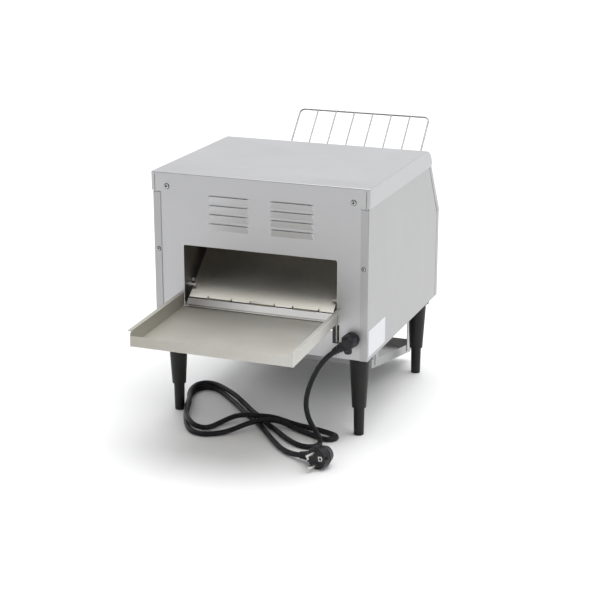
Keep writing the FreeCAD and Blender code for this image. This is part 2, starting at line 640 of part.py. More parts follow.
def sprockets(y):
    wheels = [toothed_wheel(x - 1.5, x + 1.5, y, SHAFT_Z, TEETH, SPROCKET_ROOT_R, SPROCKET_TIP_R, SHAFT_R)
              for x in SPROCKET_X]
    hubs = [rod((x - 6, y, SHAFT_Z), (x - 1.5, y, SHAFT_Z), 10).cut(
        rod((x - 7, y, SHAFT_Z), (x, y, SHAFT_Z), SHAFT_R)) for x in SPROCKET_X]
    return Part.makeCompound([wheel.fuse(hub) for wheel, hub in zip(wheels, hubs)])


def shaft(y, left):
    return rod((left, y, SHAFT_Z), (140.5, y, SHAFT_Z), SHAFT_R)


def shaft_bushes():
    """Flanged bushes that carry both shafts in the inner walls."""
    bushes = []
    for y in (DRIVE_Y, IDLER_Y):
        sleeve = rod((131.5, y, SHAFT_Z), (138, y, SHAFT_Z), 8.0)
        flange = rod((WALL_INNER + SHEET + 0.1, y, SHAFT_Z), (136.5, y, SHAFT_Z), 11.0)
        bore = rod((125, y, SHAFT_Z), (145, y, SHAFT_Z), SHAFT_R + BUSH_CLEARANCE)
        bush = sleeve.fuse(flange).cut(bore)
        bushes += [bush, mirror_x(bush)]
    return Part.makeCompound(bushes)


def drive_chainwheel():
    wheel = toothed_wheel(CHAIN_X - 1.2, CHAIN_X + 1.2, DRIVE_Y, SHAFT_Z, WHEEL_TEETH, WHEEL_R - 2.8,
                          WHEEL_R + 2.4, SHAFT_R)
    hub = rod((CHAIN_X - 6, DRIVE_Y, SHAFT_Z), (CHAIN_X - 1.2, DRIVE_Y, SHAFT_Z), 9.5)
    return wheel.fuse(hub.cut(rod((CHAIN_X - 7, DRIVE_Y, SHAFT_Z), (CHAIN_X, DRIVE_Y, SHAFT_Z), SHAFT_R)))


def motor_sprocket():
    """Small chain wheel with the gearbox's output shaft and the heavy gear on it."""
    wheel = toothed_wheel(CHAIN_X - 1.2, CHAIN_X + 1.2, DRIVE_Y, MOTOR_Z, MOTOR_TEETH, MOTOR_R - 2.8,
                          MOTOR_R + 2.2, 3.0)
    spindle = rod((CHAIN_X - 20.0, DRIVE_Y, MOTOR_Z), (CHAIN_X + 3, DRIVE_Y, MOTOR_Z), 4.0)
    gear = rod((OUTPUT_GEAR_X[0], DRIVE_Y, MOTOR_Z), (OUTPUT_GEAR_X[1], DRIVE_Y, MOTOR_Z), OUTPUT_GEAR_R)
    return wheel.fuse([spindle, gear])


def drive_chain():
    """Chain as two side loops tied by pins on its straight runs."""
    wheel, motor = (DRIVE_Y, SHAFT_Z), (DRIVE_Y, MOTOR_Z)
    loops = []
    for x0, x1 in ((CHAIN_X - 3.2, CHAIN_X - 2.2), (CHAIN_X + 2.2, CHAIN_X + 3.2)):
        outer = belt_band(motor, MOTOR_R + 2.6, wheel, WHEEL_R + 2.6, x0, x1)
        loops.append(outer.cut(belt_band(motor, MOTOR_R - 2.6, wheel, WHEEL_R - 2.6, x0 - 1, x1 + 1)))
    length = SHAFT_Z - MOTOR_Z
    lean = math.asin((WHEEL_R - MOTOR_R) / length)
    pins = []
    for k in range(3, 11):
        s = k * CHAIN_PITCH
        y = MOTOR_R * math.cos(lean) + s * math.sin(lean)
        z = MOTOR_Z - MOTOR_R * math.sin(lean) + s * math.cos(lean)
        for side in (-1, 1):
            at = DRIVE_Y + side * y
            pins.append(rod((CHAIN_X - 3.2, at, z), (CHAIN_X + 3.2, at, z), 1.6))
    return loops[0].fuse([loops[1]] + pins)


def gear_motor():
    """Flat gearbox with its round motor, on the outer side of the chain."""
    gearbox = box(-165, -148.5, DRIVE_Y - 26, DRIVE_Y + 26, MOTOR_Z - 52, MOTOR_Z + 24)
    vertical = [e for e in gearbox.Edges if e.BoundBox.XLength > 10]
    gearbox = gearbox.makeFillet(6, vertical)
    can = rod((-180.5, DRIVE_Y, MOTOR_Z - 24), (-165, DRIVE_Y, MOTOR_Z - 24), 25)
    motor = gearbox.fuse(can)
    gear_room = rod((OUTPUT_GEAR_X[0] - 1, DRIVE_Y, MOTOR_Z), (OUTPUT_GEAR_X[1] + 1, DRIVE_Y, MOTOR_Z),
                    OUTPUT_GEAR_R + 1)
    return motor.cut([gear_room, rod((-163, DRIVE_Y, MOTOR_Z), (-148, DRIVE_Y, MOTOR_Z), 4.35)])


def motor_bracket():
    """Angle bracket that holds the gearbox up from the base."""
    plate = box(-148.4, -146.9, DRIVE_Y - 32, DRIVE_Y + 32, BODY_BOTTOM + SHEET + 0.1, MOTOR_Z + 30)
    foot = box(-166, -146.9, DRIVE_Y - 32, DRIVE_Y + 32, BODY_BOTTOM + SHEET + 0.1, BODY_BOTTOM + 2.6)
    return plate.fuse(foot).cut(rod((-160, DRIVE_Y, MOTOR_Z), (-140, DRIVE_Y, MOTOR_Z), 8))


# ---- heating ------------------------------------------------------------------------------
def element_tubes(places):
    return Part.makeCompound([rod((-128, y, z), (128, y, z), TUBE_R) for y, z in places])


def element_caps():
    """Ceramic end caps that hold every tube in the inner walls."""
    caps = []
    for y, z in UPPER_TUBES + LOWER_TUBES:
        cap = rod((124, y, z), (138, y, z), CAP_R)
        cap = cap.cut(rod((120, y, z), (128, y, z), TUBE_R))
        pin = rod((137.5, y, z), (144, y, z), 1.6)
        cap = cap.fuse(pin)
        caps += [cap, mirror_x(cap)]
    return Part.makeCompound(caps)


# ---- cooling fan --------------------------------------------------------------------------
def fan_housing():
    """Square fan frame with a ring and four struts under the rotor."""
    z0 = BODY_BOTTOM + SHEET + 0.1
    frame = box(-46, 46, FAN_Y - 46, FAN_Y + 46, z0, z0 + 25)
    upright = [e for e in frame.Edges if e.BoundBox.ZLength > 20]
    frame = frame.makeFillet(5, upright)
    frame = frame.cut(rod((0, FAN_Y, z0 - 1), (0, FAN_Y, z0 + 26), 43))
    centre = rod((0, FAN_Y, z0), (0, FAN_Y, z0 + 3), 17)
    struts = [box(-43.6, 43.6, FAN_Y - 2, FAN_Y + 2, z0, z0 + 3),
              box(-2, 2, FAN_Y - 43.6, FAN_Y + 43.6, z0, z0 + 3)]
    socket = rod((0, FAN_Y, z0 + 1.0), (0, FAN_Y, z0 + 4), 2.05)
    return frame.fuse([centre] + struts).cut(socket)


def fan_rotor():
    z0 = BODY_BOTTOM + SHEET + 0.1
    hub = rod((0, FAN_Y, z0 + 4.5), (0, FAN_Y, z0 + 23), 16)
    axle = rod((0, FAN_Y, z0 + 1.5), (0, FAN_Y, z0 + 5), 2.0)
    rotor = hub.fuse(axle)
    for k in range(7):
        blade = Part.makeBox(27, 1.6, 20, V(14.5, -0.8, -10))
        blade.rotate(V(0, 0, 0), V(1, 0, 0), 52)
        blade = blade.common(Part.makeCylinder(41.5, 40, V(0, 0, -20)))
        blade.rotate(V(0, 0, 0), V(0, 0, 1), k * 360 / 7)
        blade.translate(V(0, FAN_Y, z0 + 13.5))
        rotor = rotor.fuse(blade)
    return rotor


# ---- controls -----------------------------------------------------------------------------
def knob(x):
    """Round knob with a grip bar, on its spindle."""
    face = FRONT_FACE + 1.5
    body = cone((x, face, KNOB_Z), (x, face + 4, KNOB_Z), 19, 17.5)
    grip = rounded_rect(x - 5, x + 5, face + 3.5, face + 17, KNOB_Z - 16, KNOB_Z + 16, 4)
    top = [e for e in grip.Edges if e.BoundBox.YMin > face + 16.9]
    grip = grip.makeFillet(1.5, top)
    line = box(x - 0.8, x + 0.8, face + 16.4, face + 18, KNOB_Z + 5, KNOB_Z + 14)
    spindle = rod((x, 377, KNOB_Z), (x, face + 1, KNOB_Z), 3.0)
    return body.fuse([grip, spindle]).cut(line)


def control_box(x, width, height, depth):
    """Switch or regulator body behind the front panel, with a bushing for the spindle."""
    back = FRONT_FACE - SHEET - 0.1
    body = box(x - width / 2, x + width / 2, back - 4 - depth, back - 4,
               KNOB_Z - height / 2, KNOB_Z + height / 2)
    bushing = rod((x, back - 5, KNOB_Z), (x, back, KNOB_Z), 7.0)
    return body.fuse(bushing).cut(rod((x, 376.5, KNOB_Z), (x, 400, KNOB_Z), 3.05))


def indicator_lamps():
    lamps = []
    for x in (-14.0, 14.0):
        lens = rod((x, FRONT_FACE, 252), (x, FRONT_FACE + 2.2, 252), 7.0)
        lens = lens.makeFillet(1.4, [e for e in lens.Edges if e.BoundBox.YMin > FRONT_FACE + 2])
        lamps.append(lens.fuse(rod((x, 372, 252), (x, FRONT_FACE + 0.5, 252), 5.0)))
    return Part.makeCompound(lamps)


def terminal_block():
    block = box(134.2, 152, 34, 82, 160, 178)
    for k in range(4):
        block = block.cut(rod((143, 40 + k * 12, 170), (143, 40 + k * 12, 180), 3.0))
    return block


def thermal_cutout():
    return rod((134.1, 200, 352), (138, 200, 352), 12).fuse(rod((137.5, 200, 352), (148, 200, 352), 8))


# ---- legs, screws, plate ------------------------------------------------------------------
def leg(x, y):
    """Tapered plastic leg with a flange, a stud through the base and a bore for its foot."""
    body = cone((x, y, LEG_STEP_Z), (x, y, 132.5), 11.6, 16.5)
    flange = rod((x, y, 131.5), (x, y, BODY_BOTTOM - 0.05), 21.5)
    flange = flange.makeFillet(2.0, [e for e in flange.Edges if e.BoundBox.ZMax < 131.6])
    stud = rod((x, y, BODY_BOTTOM - 1), (x, y, BODY_BOTTOM + 9), 3.9)
    nut = rod((x, y, BODY_BOTTOM + SHEET + 0.1), (x, y, BODY_BOTTOM + 7), 6.5)
    bore = rod((x, y, LEG_STEP_Z - 1), (x, y, 131), FOOT_BORE_R)
    return body.fuse([flange, stud, nut]).cut(bore)


def foot(x, y):
    """Adjustable foot: tapered part below the leg and a stem inside it."""
    stem = rod((x, y, LEG_STEP_Z - 2), (x, y, 100), FOOT_R)
    low = cone((x, y, 0), (x, y, LEG_STEP_Z - 2), 8.2, FOOT_R)
    low = low.makeFillet(1.0, [e for e in low.Edges if e.BoundBox.ZMax < 0.1])
    return low.fuse(stem)


def cover_screws():
    return Part.makeCompound([screw((x, COVER_REAR, 394.4), (0, -1, 0)) for x in (-159.0, 159.0)])


def flange_screws():
    return Part.makeCompound([screw((x, -1.1, 289), (0, -1, 0), 3.0, 1.8, 1.5) for x in (-176.0, 176.0)])


def rating_plate():
    return rounded_plate(BODY_HALF, BODY_HALF + 0.4, 3, 88, 144, 187, 2)


def rounded_plate(x0, x1, y0, y1, z0, z1, radius):
    """Thin plate square to X with rounded corners."""
    plate = box(x0, x1, y0, y1, z0, z1)
    edges = [e for e in plate.Edges if e.BoundBox.XLength > 0.5 * (x1 - x0) and e.BoundBox.YLength < 0.01]
    return plate.makeFillet(radius, edges)


# ---- mains lead ---------------------------------------------------------------------------
def along(point, direction, distance):
    """Point moved along a direction, as a tuple."""
    d = V(*direction).normalize()
    p = V(*point) + d * distance
    return (p.x, p.y, p.z)


def cord_gland():
    """Strain relief: collar, body, clamp boss below and a short stub that the cord leaves."""
    x, z = GLAND
    nut = rod((x, SHEET + 0.1, z), (x, 7, z), 11.0)
    neck = rod((x, -1, z), (x, 5, z), 8.0)
    collar = rod((x, -5, z), (x, -0.1, z), 12.5)
    body = rod((x, -26, z), (x, -4, z), 11.0)
    body = body.makeFillet(4.0, [e for e in body.Edges if e.BoundBox.YMax < -25.9])
    boss = rod((x, -19, z - 18), (x, -19, z), 6.2)
    boss = boss.makeFillet(2.5, [e for e in boss.Edges if e.BoundBox.ZMax < z - 17.9])
    stub = cone(GLAND_CENTRE, along(GLAND_CENTRE, GLAND_EXIT, GLAND_REACH), 8.5, 6.4)
    return nut.fuse([neck, collar, body, boss, stub]).cut(gland_screw())


def gland_screw():
    x, z = GLAND
    return screw((x, -25.25, z - 13.5), (0, -1, 0), 2.2, 1.2, 1.0, 3.0)


def plug_axes():
    """Pin direction, direction of the cord's end and the line of the two pins."""
    out = V(*PIN_DIRECTION).normalize()
    side = V(out.y, -out.x, 0)
    tail = side * math.cos(PLUG_ROLL) - V(0, 0, math.sin(PLUG_ROLL))
    return out, tail, out.cross(tail)


def plug_body():
    """Angled two-pin plug: round face, domed back and a tapered strain relief at the side."""
    out, tail = plug_axes()[:2]
    face = V(*PLUG_FACE)
    disc = Part.makeCylinder(PLUG_R, 17, face - out * 17, out)
    back = Part.makeCone(PLUG_R - 6, PLUG_R, 14, face - out * 30, out)
    body = disc.fuse(back)
    root = face - out * PLUG_SETBACK
    tip = root + tail * PLUG_REACH
    relief = Part.makeCone(9.0, 6.2, PLUG_REACH - 8, root + tail * 8, tail)
    body = body.fuse(relief)
    hole = face - tail * 10
    body = body.cut(Part.makeCylinder(2.4, 15, hole - out * 15, out))
    notch = Part.makeCylinder(3.0, 9, face - tail * (PLUG_R - 1.2) - out * 9, out)
    return body.cut(notch), tip


def plug_pins():
    """Two contact pins, the earth clip and the earth socket's square plate."""
    out, tail, line = plug_axes()
    face = V(*PLUG_FACE)
    pieces = []
    for side in (-1, 1):
        pin = Part.makeCylinder(2.4, 19, face + line * (9.5 * side), out)
        tip = [e for e in pin.Edges if e.Closed and e.Curve.Center.sub(face).dot(out) > 18]
        pieces.append(pin.makeFillet(1.2, tip))
    plate = Part.makeBox(8, 8, 0.6)
    frame = FreeCAD.Matrix(tail.x, line.x, out.x, 0, tail.y, line.y, out.y, 0,
                           tail.z, line.z, out.z, 0, 0, 0, 0, 1)
    plate.translate(V(-14, -4, 0))
    plate = plate.transformGeometry(frame).translated(face)
    pieces.append(plate.cut(Part.makeCylinder(2.2, 3, face - tail * 10 - out, out)))
    strip = Part.makeBox(0.8, 5, 10)
    strip.translate(V(PLUG_R - 0.9, -2.5, -9.5))
    cap = Part.makeBox(4.5, 5, 0.8)
    cap.translate(V(PLUG_R - 4.6, -2.5, 0))
    left = strip.fuse(cap).transformGeometry(frame).translated(face)
    pieces.append(left.cut(Part.makeCylinder(PLUG_R, 9.6, face - out * 9.6, out)))
    return Part.makeCompound(pieces)


def cord_route():
    """Middle of the mains lead from the gland to the plug, chosen by hand."""
    z = CORD_R
    top = 13.0                   # height of the strand that lies on another one
    over = 14.0                  # height where it crosses two strands
    gland_end = along(GLAND_CENTRE, GLAND_EXIT, GLAND_REACH)
    plug_end = plug_body()[1]
    plug_lead = plug_end + plug_axes()[1] * 16.0
    hanging = [gland_end, along(gland_end, GLAND_EXIT, 22.0), (113, -18.7, 132.5), (101.5, -19, 112),
               (92, -19.5, 88.5), (87.3, -20.5, 64), (90.5, -21.5, 43), (99, -23.5, 27), (109.5, -26.5, 15),
               (117.5, -32, 6.5)]
    first_strand = [(119.5, -43, z), (115, -55.5, z), (101, -61, z), (83, -55, z), (59, -37.5, z),
                    (34.5, -13.5, z),
                    (10.5, 7, z), (-12, 31.5, z), (-36.5, 52.5, z), (-60, 76, 6.5), (-86, 96, 11.5)]
    lobe_above = [(-113, 114.5, top), (-135, 129, top), (-153, 132.5, top), (-166, 122.5, top),
                  (-169, 103, top), (-163.5, 75, top), (-150.5, 48, top), (-140.5, 13, top),
                  (-124, -21, top), (-110, -42, top), (-96, -53, 11)]
    upper_crossing = [(-82, -51.5, 7), (-73.5, -39, 4.5), (-68, -20, z), (-61, -2, 5.5), (-48.5, 8, 10.5),
                      (-30, 12, over), (-8, 14.5, over), (14, 18.5, over), (35, 20, 9.5), (57, 20.5, 4.8),
                      (79, 18, z)]
    hairpin = [(101, 13, z), (118, 7.5, z), (131, 1.5, z), (136.5, -8, z), (130.5, -18.5, z), (117, -20, z),
               (98, -11.5, z)]
    lower_crossing = [(76, -2.5, z), (55, 6, 5.5), (35, 9.5, 11), (16, 5.5, over), (-1, -6, over),
                      (-14, -20, 12.5), (-26.5, -34, 8.5), (-40, -48, 4.8), (-55, -61.5, z),
                      (-75, -70.5, z), (-95, -65.5, z)]
    lobe_below = [(-110.5, -47.5, z), (-125, -22, z), (-140.8, 12.5, z), (-151, 48, z), (-164, 75.5, z),
                  (-168.5, 104, z), (-165, 122.5, z), (-153, 132, z), (-134, 128, z), (-114, 112, z),
                  (-93, 91, z)]
    last_strand = [(-68, 67, z), (-45, 40, z), (-20, 19, z), (4, -5, z), (26, -32.5, z), (49, -60, z),
                   (72, -84, z), tuple(plug_lead)]
    route = hanging + first_strand + lobe_above + upper_crossing + hairpin + lower_crossing
    return [V(*p) for p in route + lobe_below + last_strand + [tuple(plug_end)]]


def power_cord():
    """Round lead along its route; prints its radii, length and volume test."""
    radii = []

    def rule(shorter, turn):
        radii.append(0.45 * shorter / math.tan(turn / 2))
        return radii[-1]

    edges = arc_path(cord_route(), rule)
    path = Part.Wire(edges)
    start = edges[0].Vertexes[0].Point
    profile = Part.Wire([Part.makeCircle(CORD_R, start, edges[0].tangentAt(edges[0].FirstParameter))])
    cord = path.makePipeShell([profile], True, True)
    section = math.pi * CORD_R ** 2
    print("cord radii mm:", " ".join("%.0f" % r for r in radii))
    share = cord.Volume / (section * path.Length)
    print("cord length %.1f mm, volume / (section x length) %.5f" % (path.Length, share))
    return cord


# ---- assembly -----------------------------------------------------------------------------
def pieces():
    """Every node's name and its shape, in model axes."""
    wall = inner_wall()
    side = side_panel()
    rail = tray_rail()
    named = {
        "base_plate": base_plate(), "rear_panel": rear_panel(),
        "right_side_panel": side, "left_side_panel": mirror_x(side),
        "top_cover": top_cover(), "loading_panel": loading_panel(), "front_panel": front_panel(),
        "right_inner_wall": wall, "left_inner_wall": mirror_x(wall),
        "upper_reflector": upper_reflector(), "lower_reflector": lower_reflector(),
        "outlet_lip": outlet_lip(), "toast_ramp": toast_ramp(), "ramp_studs": ramp_studs(),
        "rear_tray": rear_tray(), "lower_tray": lower_tray(),
        "right_tray_rail": rail, "left_tray_rail": mirror_x(rail),
        "loading_rack": loading_rack(), "rack_sockets": rack_sockets(),
        "conveyor_belt": conveyor_belt(), "shaft_bushes": shaft_bushes(),
        "drive_shaft": shaft(DRIVE_Y, -148.0), "drive_sprockets": sprockets(DRIVE_Y),
        "drive_chainwheel": drive_chainwheel(),
        "idler_shaft": shaft(IDLER_Y, -140.5), "idler_sprockets": sprockets(IDLER_Y),
        "gear_motor": gear_motor(), "motor_bracket": motor_bracket(), "motor_sprocket": motor_sprocket(),
        "drive_chain": drive_chain(),
        "upper_elements": element_tubes(UPPER_TUBES), "lower_elements": element_tubes(LOWER_TUBES),
        "element_caps": element_caps(), "fan_housing": fan_housing(), "fan_rotor": fan_rotor(),
        "heat_switch": control_box(KNOB_X, 40, 44, 26), "speed_regulator": control_box(-KNOB_X, 34, 34, 20),
        "heat_knob": knob(KNOB_X), "speed_knob": knob(-KNOB_X),
        "indicator_lamps": indicator_lamps(), "terminal_block": terminal_block(),
        "thermal_cutout": thermal_cutout(), "cover_screws": cover_screws(),
        "flange_screws": flange_screws(), "rating_plate": rating_plate(),
        "cord_gland": cord_gland(), "gland_screw": gland_screw(), "power_cord": power_cord(),
        "plug_body": plug_body()[0].cut(plug_pins()), "plug_pins": plug_pins(),
    }
    for end, y in zip(("rear", "front"), LEG_Y):
        for hand, x in (("left", -LEG_X), ("right", LEG_X)):
            named["%s_%s_leg" % (end, hand)] = leg(x, y)
            named["%s_%s_foot" % (end, hand)] = foot(x, y)
    return named


def export():
    """Move every piece to the row frame and write its STEP file."""
    os.makedirs("parts", exist_ok=True)
    for name, shape in pieces().items():
        shape = shape.translated(V(0, -Y_MID, 0))
        solids = len(shape.Solids)
        print("%-18s %2d solids %8.0f mm3 valid %s" % (name, solids, shape.Volume, shape.isValid()))
        shape.exportStep("parts/%s.step" % name)


export()
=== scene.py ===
"""Looks of the conveyor toaster: finishes, moulded and bent-wire pieces, and the studio around them."""
import math
import bmesh
import bpy
from mathutils import Matrix, Vector


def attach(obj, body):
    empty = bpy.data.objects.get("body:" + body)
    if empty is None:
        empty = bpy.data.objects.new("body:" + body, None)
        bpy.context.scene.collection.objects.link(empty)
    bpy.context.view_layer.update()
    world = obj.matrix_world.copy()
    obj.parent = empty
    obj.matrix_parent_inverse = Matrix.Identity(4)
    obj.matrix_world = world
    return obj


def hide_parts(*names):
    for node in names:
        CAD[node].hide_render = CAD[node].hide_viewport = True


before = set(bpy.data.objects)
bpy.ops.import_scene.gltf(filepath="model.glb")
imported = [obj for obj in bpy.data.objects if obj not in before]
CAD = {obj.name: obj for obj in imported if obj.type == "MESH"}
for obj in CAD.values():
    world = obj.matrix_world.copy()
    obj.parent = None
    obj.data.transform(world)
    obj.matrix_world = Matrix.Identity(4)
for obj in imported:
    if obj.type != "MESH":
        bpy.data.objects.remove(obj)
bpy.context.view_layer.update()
SCENE = bpy.context.scene

# ---- places that the CAD source names too, in its millimetres ---------------------------------
ROW_SHIFT = 161.8                # how far the rear panel lies behind the middle of the row frame
GLAND_CENTRE = (158.0, -18.0, 172.0)
GLAND_EXIT = (-0.80, 0.0, -0.60)
GLAND_REACH = 16.0
PLUG_FACE = (145.0, -130.0, 18.0)
PLUG_R = 17.8
PLUG_ROLL = math.radians(12.0)
PLUG_REACH = 41.0
PLUG_SETBACK = 11.5
PIN_DIRECTION = (-0.34, -0.94, 0.0)
CORD_R = 4.25

# ---- reference view, in metres ------------------------------------------------------------------
EYE = (0.9055, -2.3433, 0.9534)
SIGHT_LINE = (-0.34162, 0.89178, -0.29670)
SENSOR_WIDTH = 36.0              # mm
LENS = 92.35                     # mm
FAR_CLIP = 60.0


def spot(x, y, z):
    """A place given in millimetres from the rear panel and the table, in the row frame."""
    return Vector((x, y - ROW_SHIFT, z)) * 0.001


def mm(value):
    return value * 0.001


# ---- camera -----------------------------------------------------------------------------------
def camera():
    """Camera at the angle and distance of the reference view."""
    data = bpy.data.cameras.new("camera")
    data.sensor_width = SENSOR_WIDTH
    data.lens = LENS
    data.clip_end = FAR_CLIP
    eye = bpy.data.objects.new("camera", data)
    SCENE.collection.objects.link(eye)
    eye.location = EYE
    eye.rotation_euler = Vector(SIGHT_LINE).to_track_quat("-Z", "Y").to_euler()
    SCENE.camera = eye


# ---- finishes ---------------------------------------------------------------------------------
class Finish:
    """One material, with short calls that add texture nodes to it."""

    def __init__(self, name, **constants):
        self.material = bpy.data.materials.new(name)
        self.material.use_nodes = True
        self.tree = self.material.node_tree
        self.shader = self.tree.nodes["Principled BSDF"]
        self.place = self.tree.nodes.new("ShaderNodeTexCoord").outputs["Object"]
        for socket, value in constants.items():
            self.shader.inputs[socket.replace("_", " ")].default_value = value
        self.height = None

    def node(self, kind, links=(), **values):
        """A node with some sockets linked and others set."""
        made = self.tree.nodes.new(kind)
        for socket, value in values.items():
            made.inputs[socket.replace("_", " ")].default_value = value
        for socket, source in links:
            self.tree.links.new(source, made.inputs[socket])
        return made

    def noise(self, scale, stretch=(1, 1, 1), detail=3.0, rough=0.5, warp=0.0):
        """Noise of a given frequency per metre, stretched along the axes."""
        mapping = self.node("ShaderNodeMapping", [("Vector", self.place)], Scale=stretch)
        made = self.node("ShaderNodeTexNoise", [("Vector", mapping.outputs[0])],
                         Scale=scale, Detail=detail, Roughness=rough, Distortion=warp)
        return made.outputs["Fac"]

    def cells(self, scale):
        """Distance to the nearest of scattered points, as in crystal spangle."""
        made = self.node("ShaderNodeTexVoronoi", [("Vector", self.place)], Scale=scale)
        return made.outputs["Distance"]

    def levels(self, value, low, high, out_low, out_high):
        """Rescales a value from one range to another, clamped."""
        made = self.node("ShaderNodeMapRange", [("Value", value)],
                         From_Min=low, From_Max=high, To_Min=out_low, To_Max=out_high)
        return made.outputs[0]

    def sum(self, a, b, share=1.0):
        """a plus a share of b."""
        made = self.node("ShaderNodeMath", [(0, b), (2, a)])
        made.operation = "MULTIPLY_ADD"
        made.inputs[1].default_value = share
        return made.outputs[0]

    def blend(self, share, first, second):
        """Mixes two colours, each a colour or a socket."""
        made = self.tree.nodes.new("ShaderNodeMix")
        made.data_type = "RGBA"
        self.tree.links.new(share, made.inputs["Factor"])
        for socket, colour in ((made.inputs[6], first), (made.inputs[7], second)):
            if isinstance(colour, tuple):
                socket.default_value = (*colour, 1.0)
            else:
                self.tree.links.new(colour, socket)
        return made.outputs[2]

    def axis(self, letter):
        parts = self.node("ShaderNodeSeparateXYZ", [("Vector", self.place)])
        return parts.outputs[letter]

    def shade_left_end(self, colour, film, uneven, left, right):
        """Paints shade over a colour: darkest at the left end and gone at the right one."""
        place = self.sum(self.axis("X"), uneven, SHADE_EDGE_WANDER)
        start = left + SHADE_EDGE_WANDER / 2
        end = right + SHADE_EDGE_WANDER / 2
        return self.blend(self.levels(place, start, end, SHADE_COVER, 0.0), colour, film)

    def colour(self, socket):
        self.tree.links.new(socket, self.shader.inputs["Base Color"])

    def roughness(self, socket):
        self.tree.links.new(socket, self.shader.inputs["Roughness"])

    def bump(self, height, distance, strength=1.0):
        """Adds relief of a given depth in metres; several calls add up."""
        made = self.node("ShaderNodeBump", [("Height", height)], Distance=distance, Strength=strength)
        if self.height:
            self.tree.links.new(self.height, made.inputs["Normal"])
        self.height = made.outputs["Normal"]
        self.tree.links.new(self.height, self.shader.inputs["Normal"])


SHADE_EDGE_WANDER = 0.08               # metres by which the painted shade's edge strays, from end to end
SHADE_COVER = 0.9                 # share of the metal that the painted shade covers where it is darkest
GRAIN = {"x": (14.0, 1500.0, 1500.0), "y": (1500.0, 14.0, 1500.0), "z": (1500.0, 1500.0, 14.0)}
STREAK = {"x": (3.0, 130.0, 130.0), "y": (130.0, 3.0, 130.0), "z": (130.0, 130.0, 3.0)}


def steel_sheet(name, grain, dark, light, rough=(0.30, 0.42), stain=None, stain_share=0.5, film=None):
    """Brushed sheet: fine grain along one axis, streaks, smears and, if wanted, a stain and, given as film,
    painted shade over the left end.
    """
    f = Finish(name, Metallic=1.0)
    fine = f.noise(1.0, GRAIN[grain], 2.0, 0.6)
    streak = f.noise(1.0, STREAK[grain], 3.0, 0.55)
    smear = f.noise(7.0, (1.0, 1.6, 1.2), 4.0, 0.6, 0.8)
    tone = f.sum(f.sum(f.levels(smear, 0.3, 0.7, 0.0, 0.45), streak, 0.4), fine, 0.25)
    colour = f.blend(f.levels(tone, 0.2, 0.9, 0.0, 1.0), dark, light)
    if stain:
        patch = f.noise(7.0, (1.0, 1.0, 1.0), 3.0, 0.5, 0.6)
        colour = f.blend(f.levels(patch, 0.40, 0.68, 0.0, stain_share), colour, stain)
    # film is the colour of painted shade laid over the left end
    if film:
        colour = f.shade_left_end(colour, film, smear, -0.14, 0.11)
    f.colour(colour)
    gloss = f.sum(f.sum(f.levels(smear, 0.25, 0.75, -0.12, 0.25), streak, 0.45), fine, 0.35)
    f.roughness(f.levels(gloss, 0.15, 0.85, rough[0], rough[1]))
    f.bump(fine, 0.00004, 0.35)
    f.bump(f.noise(3.2, (1, 1, 1), 1.0), 0.0007, 0.30)
    return f.material


def polished_sheet(name, dark, light, stain, rough, dull=None):
    """Bright sheet near the heat: soft waves, hairline scratches, baked-on film and, if dull is given,
    painted shade over the left end.
    """
    f = Finish(name, Metallic=1.0)
    film = f.noise(6.0, (1.0, 1.0, 1.0), 4.0, 0.55, 0.8)
    scratch = f.noise(1.0, (90.0, 1400.0, 1400.0), 1.0, 0.4)
    colour = f.blend(f.levels(film, 0.38, 0.72, 0.0, 0.3), f.blend(scratch, dark, light), stain)
    # dull is the colour of painted shade and painted dark reflection laid over the left end
    if dull:
        colour = f.shade_left_end(colour, dull, film, -0.12, 0.0)
    f.colour(colour)
    f.roughness(f.levels(f.sum(film, scratch, 0.3), 0.4, 0.9, rough[0], rough[1]))
    f.bump(f.noise(5.0, (1, 1, 1), 1.0), 0.0004, 0.25)
    f.bump(scratch, 0.000002, 0.08)
    return f.material


def drawn_wire(name, dark, light, tint=None):
    """Bright drawn wire: faint drawing lines, dull spots and, if wanted, a straw heat tint."""
    f = Finish(name, Metallic=1.0)
    spots = f.noise(120.0, (1, 1, 1), 4.0, 0.6)
    patches = f.noise(22.0, (1, 1, 1), 3.0, 0.6)
    colour = f.blend(f.levels(spots, 0.3, 0.7, 0.0, 1.0), dark, light)
    if tint:
        colour = f.blend(f.levels(patches, 0.35, 0.65, 0.0, 0.7), colour, tint)
    f.colour(colour)
    f.roughness(f.levels(spots, 0.3, 0.7, 0.16, 0.34))
    f.bump(f.noise(900.0, (1, 1, 1), 2.0), 0.00004, 0.3)
    return f.material


def zinc_plating(name):
    """Zinc-plated steel: faint spangle, a blue-yellow passivation sheen and dull patches."""
    f = Finish(name, Metallic=1.0)
    base = (0.56, 0.57, 0.59)
    spangle = f.cells(260.0)
    haze = f.noise(60.0, (1, 1, 1), 4.0, 0.6, 0.5)
    yellow = tuple(c * s for c, s in zip(base, (1.06, 1.0, 0.82)))
    colour = f.blend(f.levels(haze, 0.35, 0.7, 0.0, 0.7), base, yellow)
    f.colour(f.blend(f.levels(spangle, 0.0, 0.7, 0.0, 0.35), colour, (0.72, 0.73, 0.75)))
    f.roughness(f.levels(f.sum(haze, spangle, 0.4), 0.3, 0.9, 0.24, 0.46))
    f.bump(haze, 0.0001, 0.3)
    return f.material


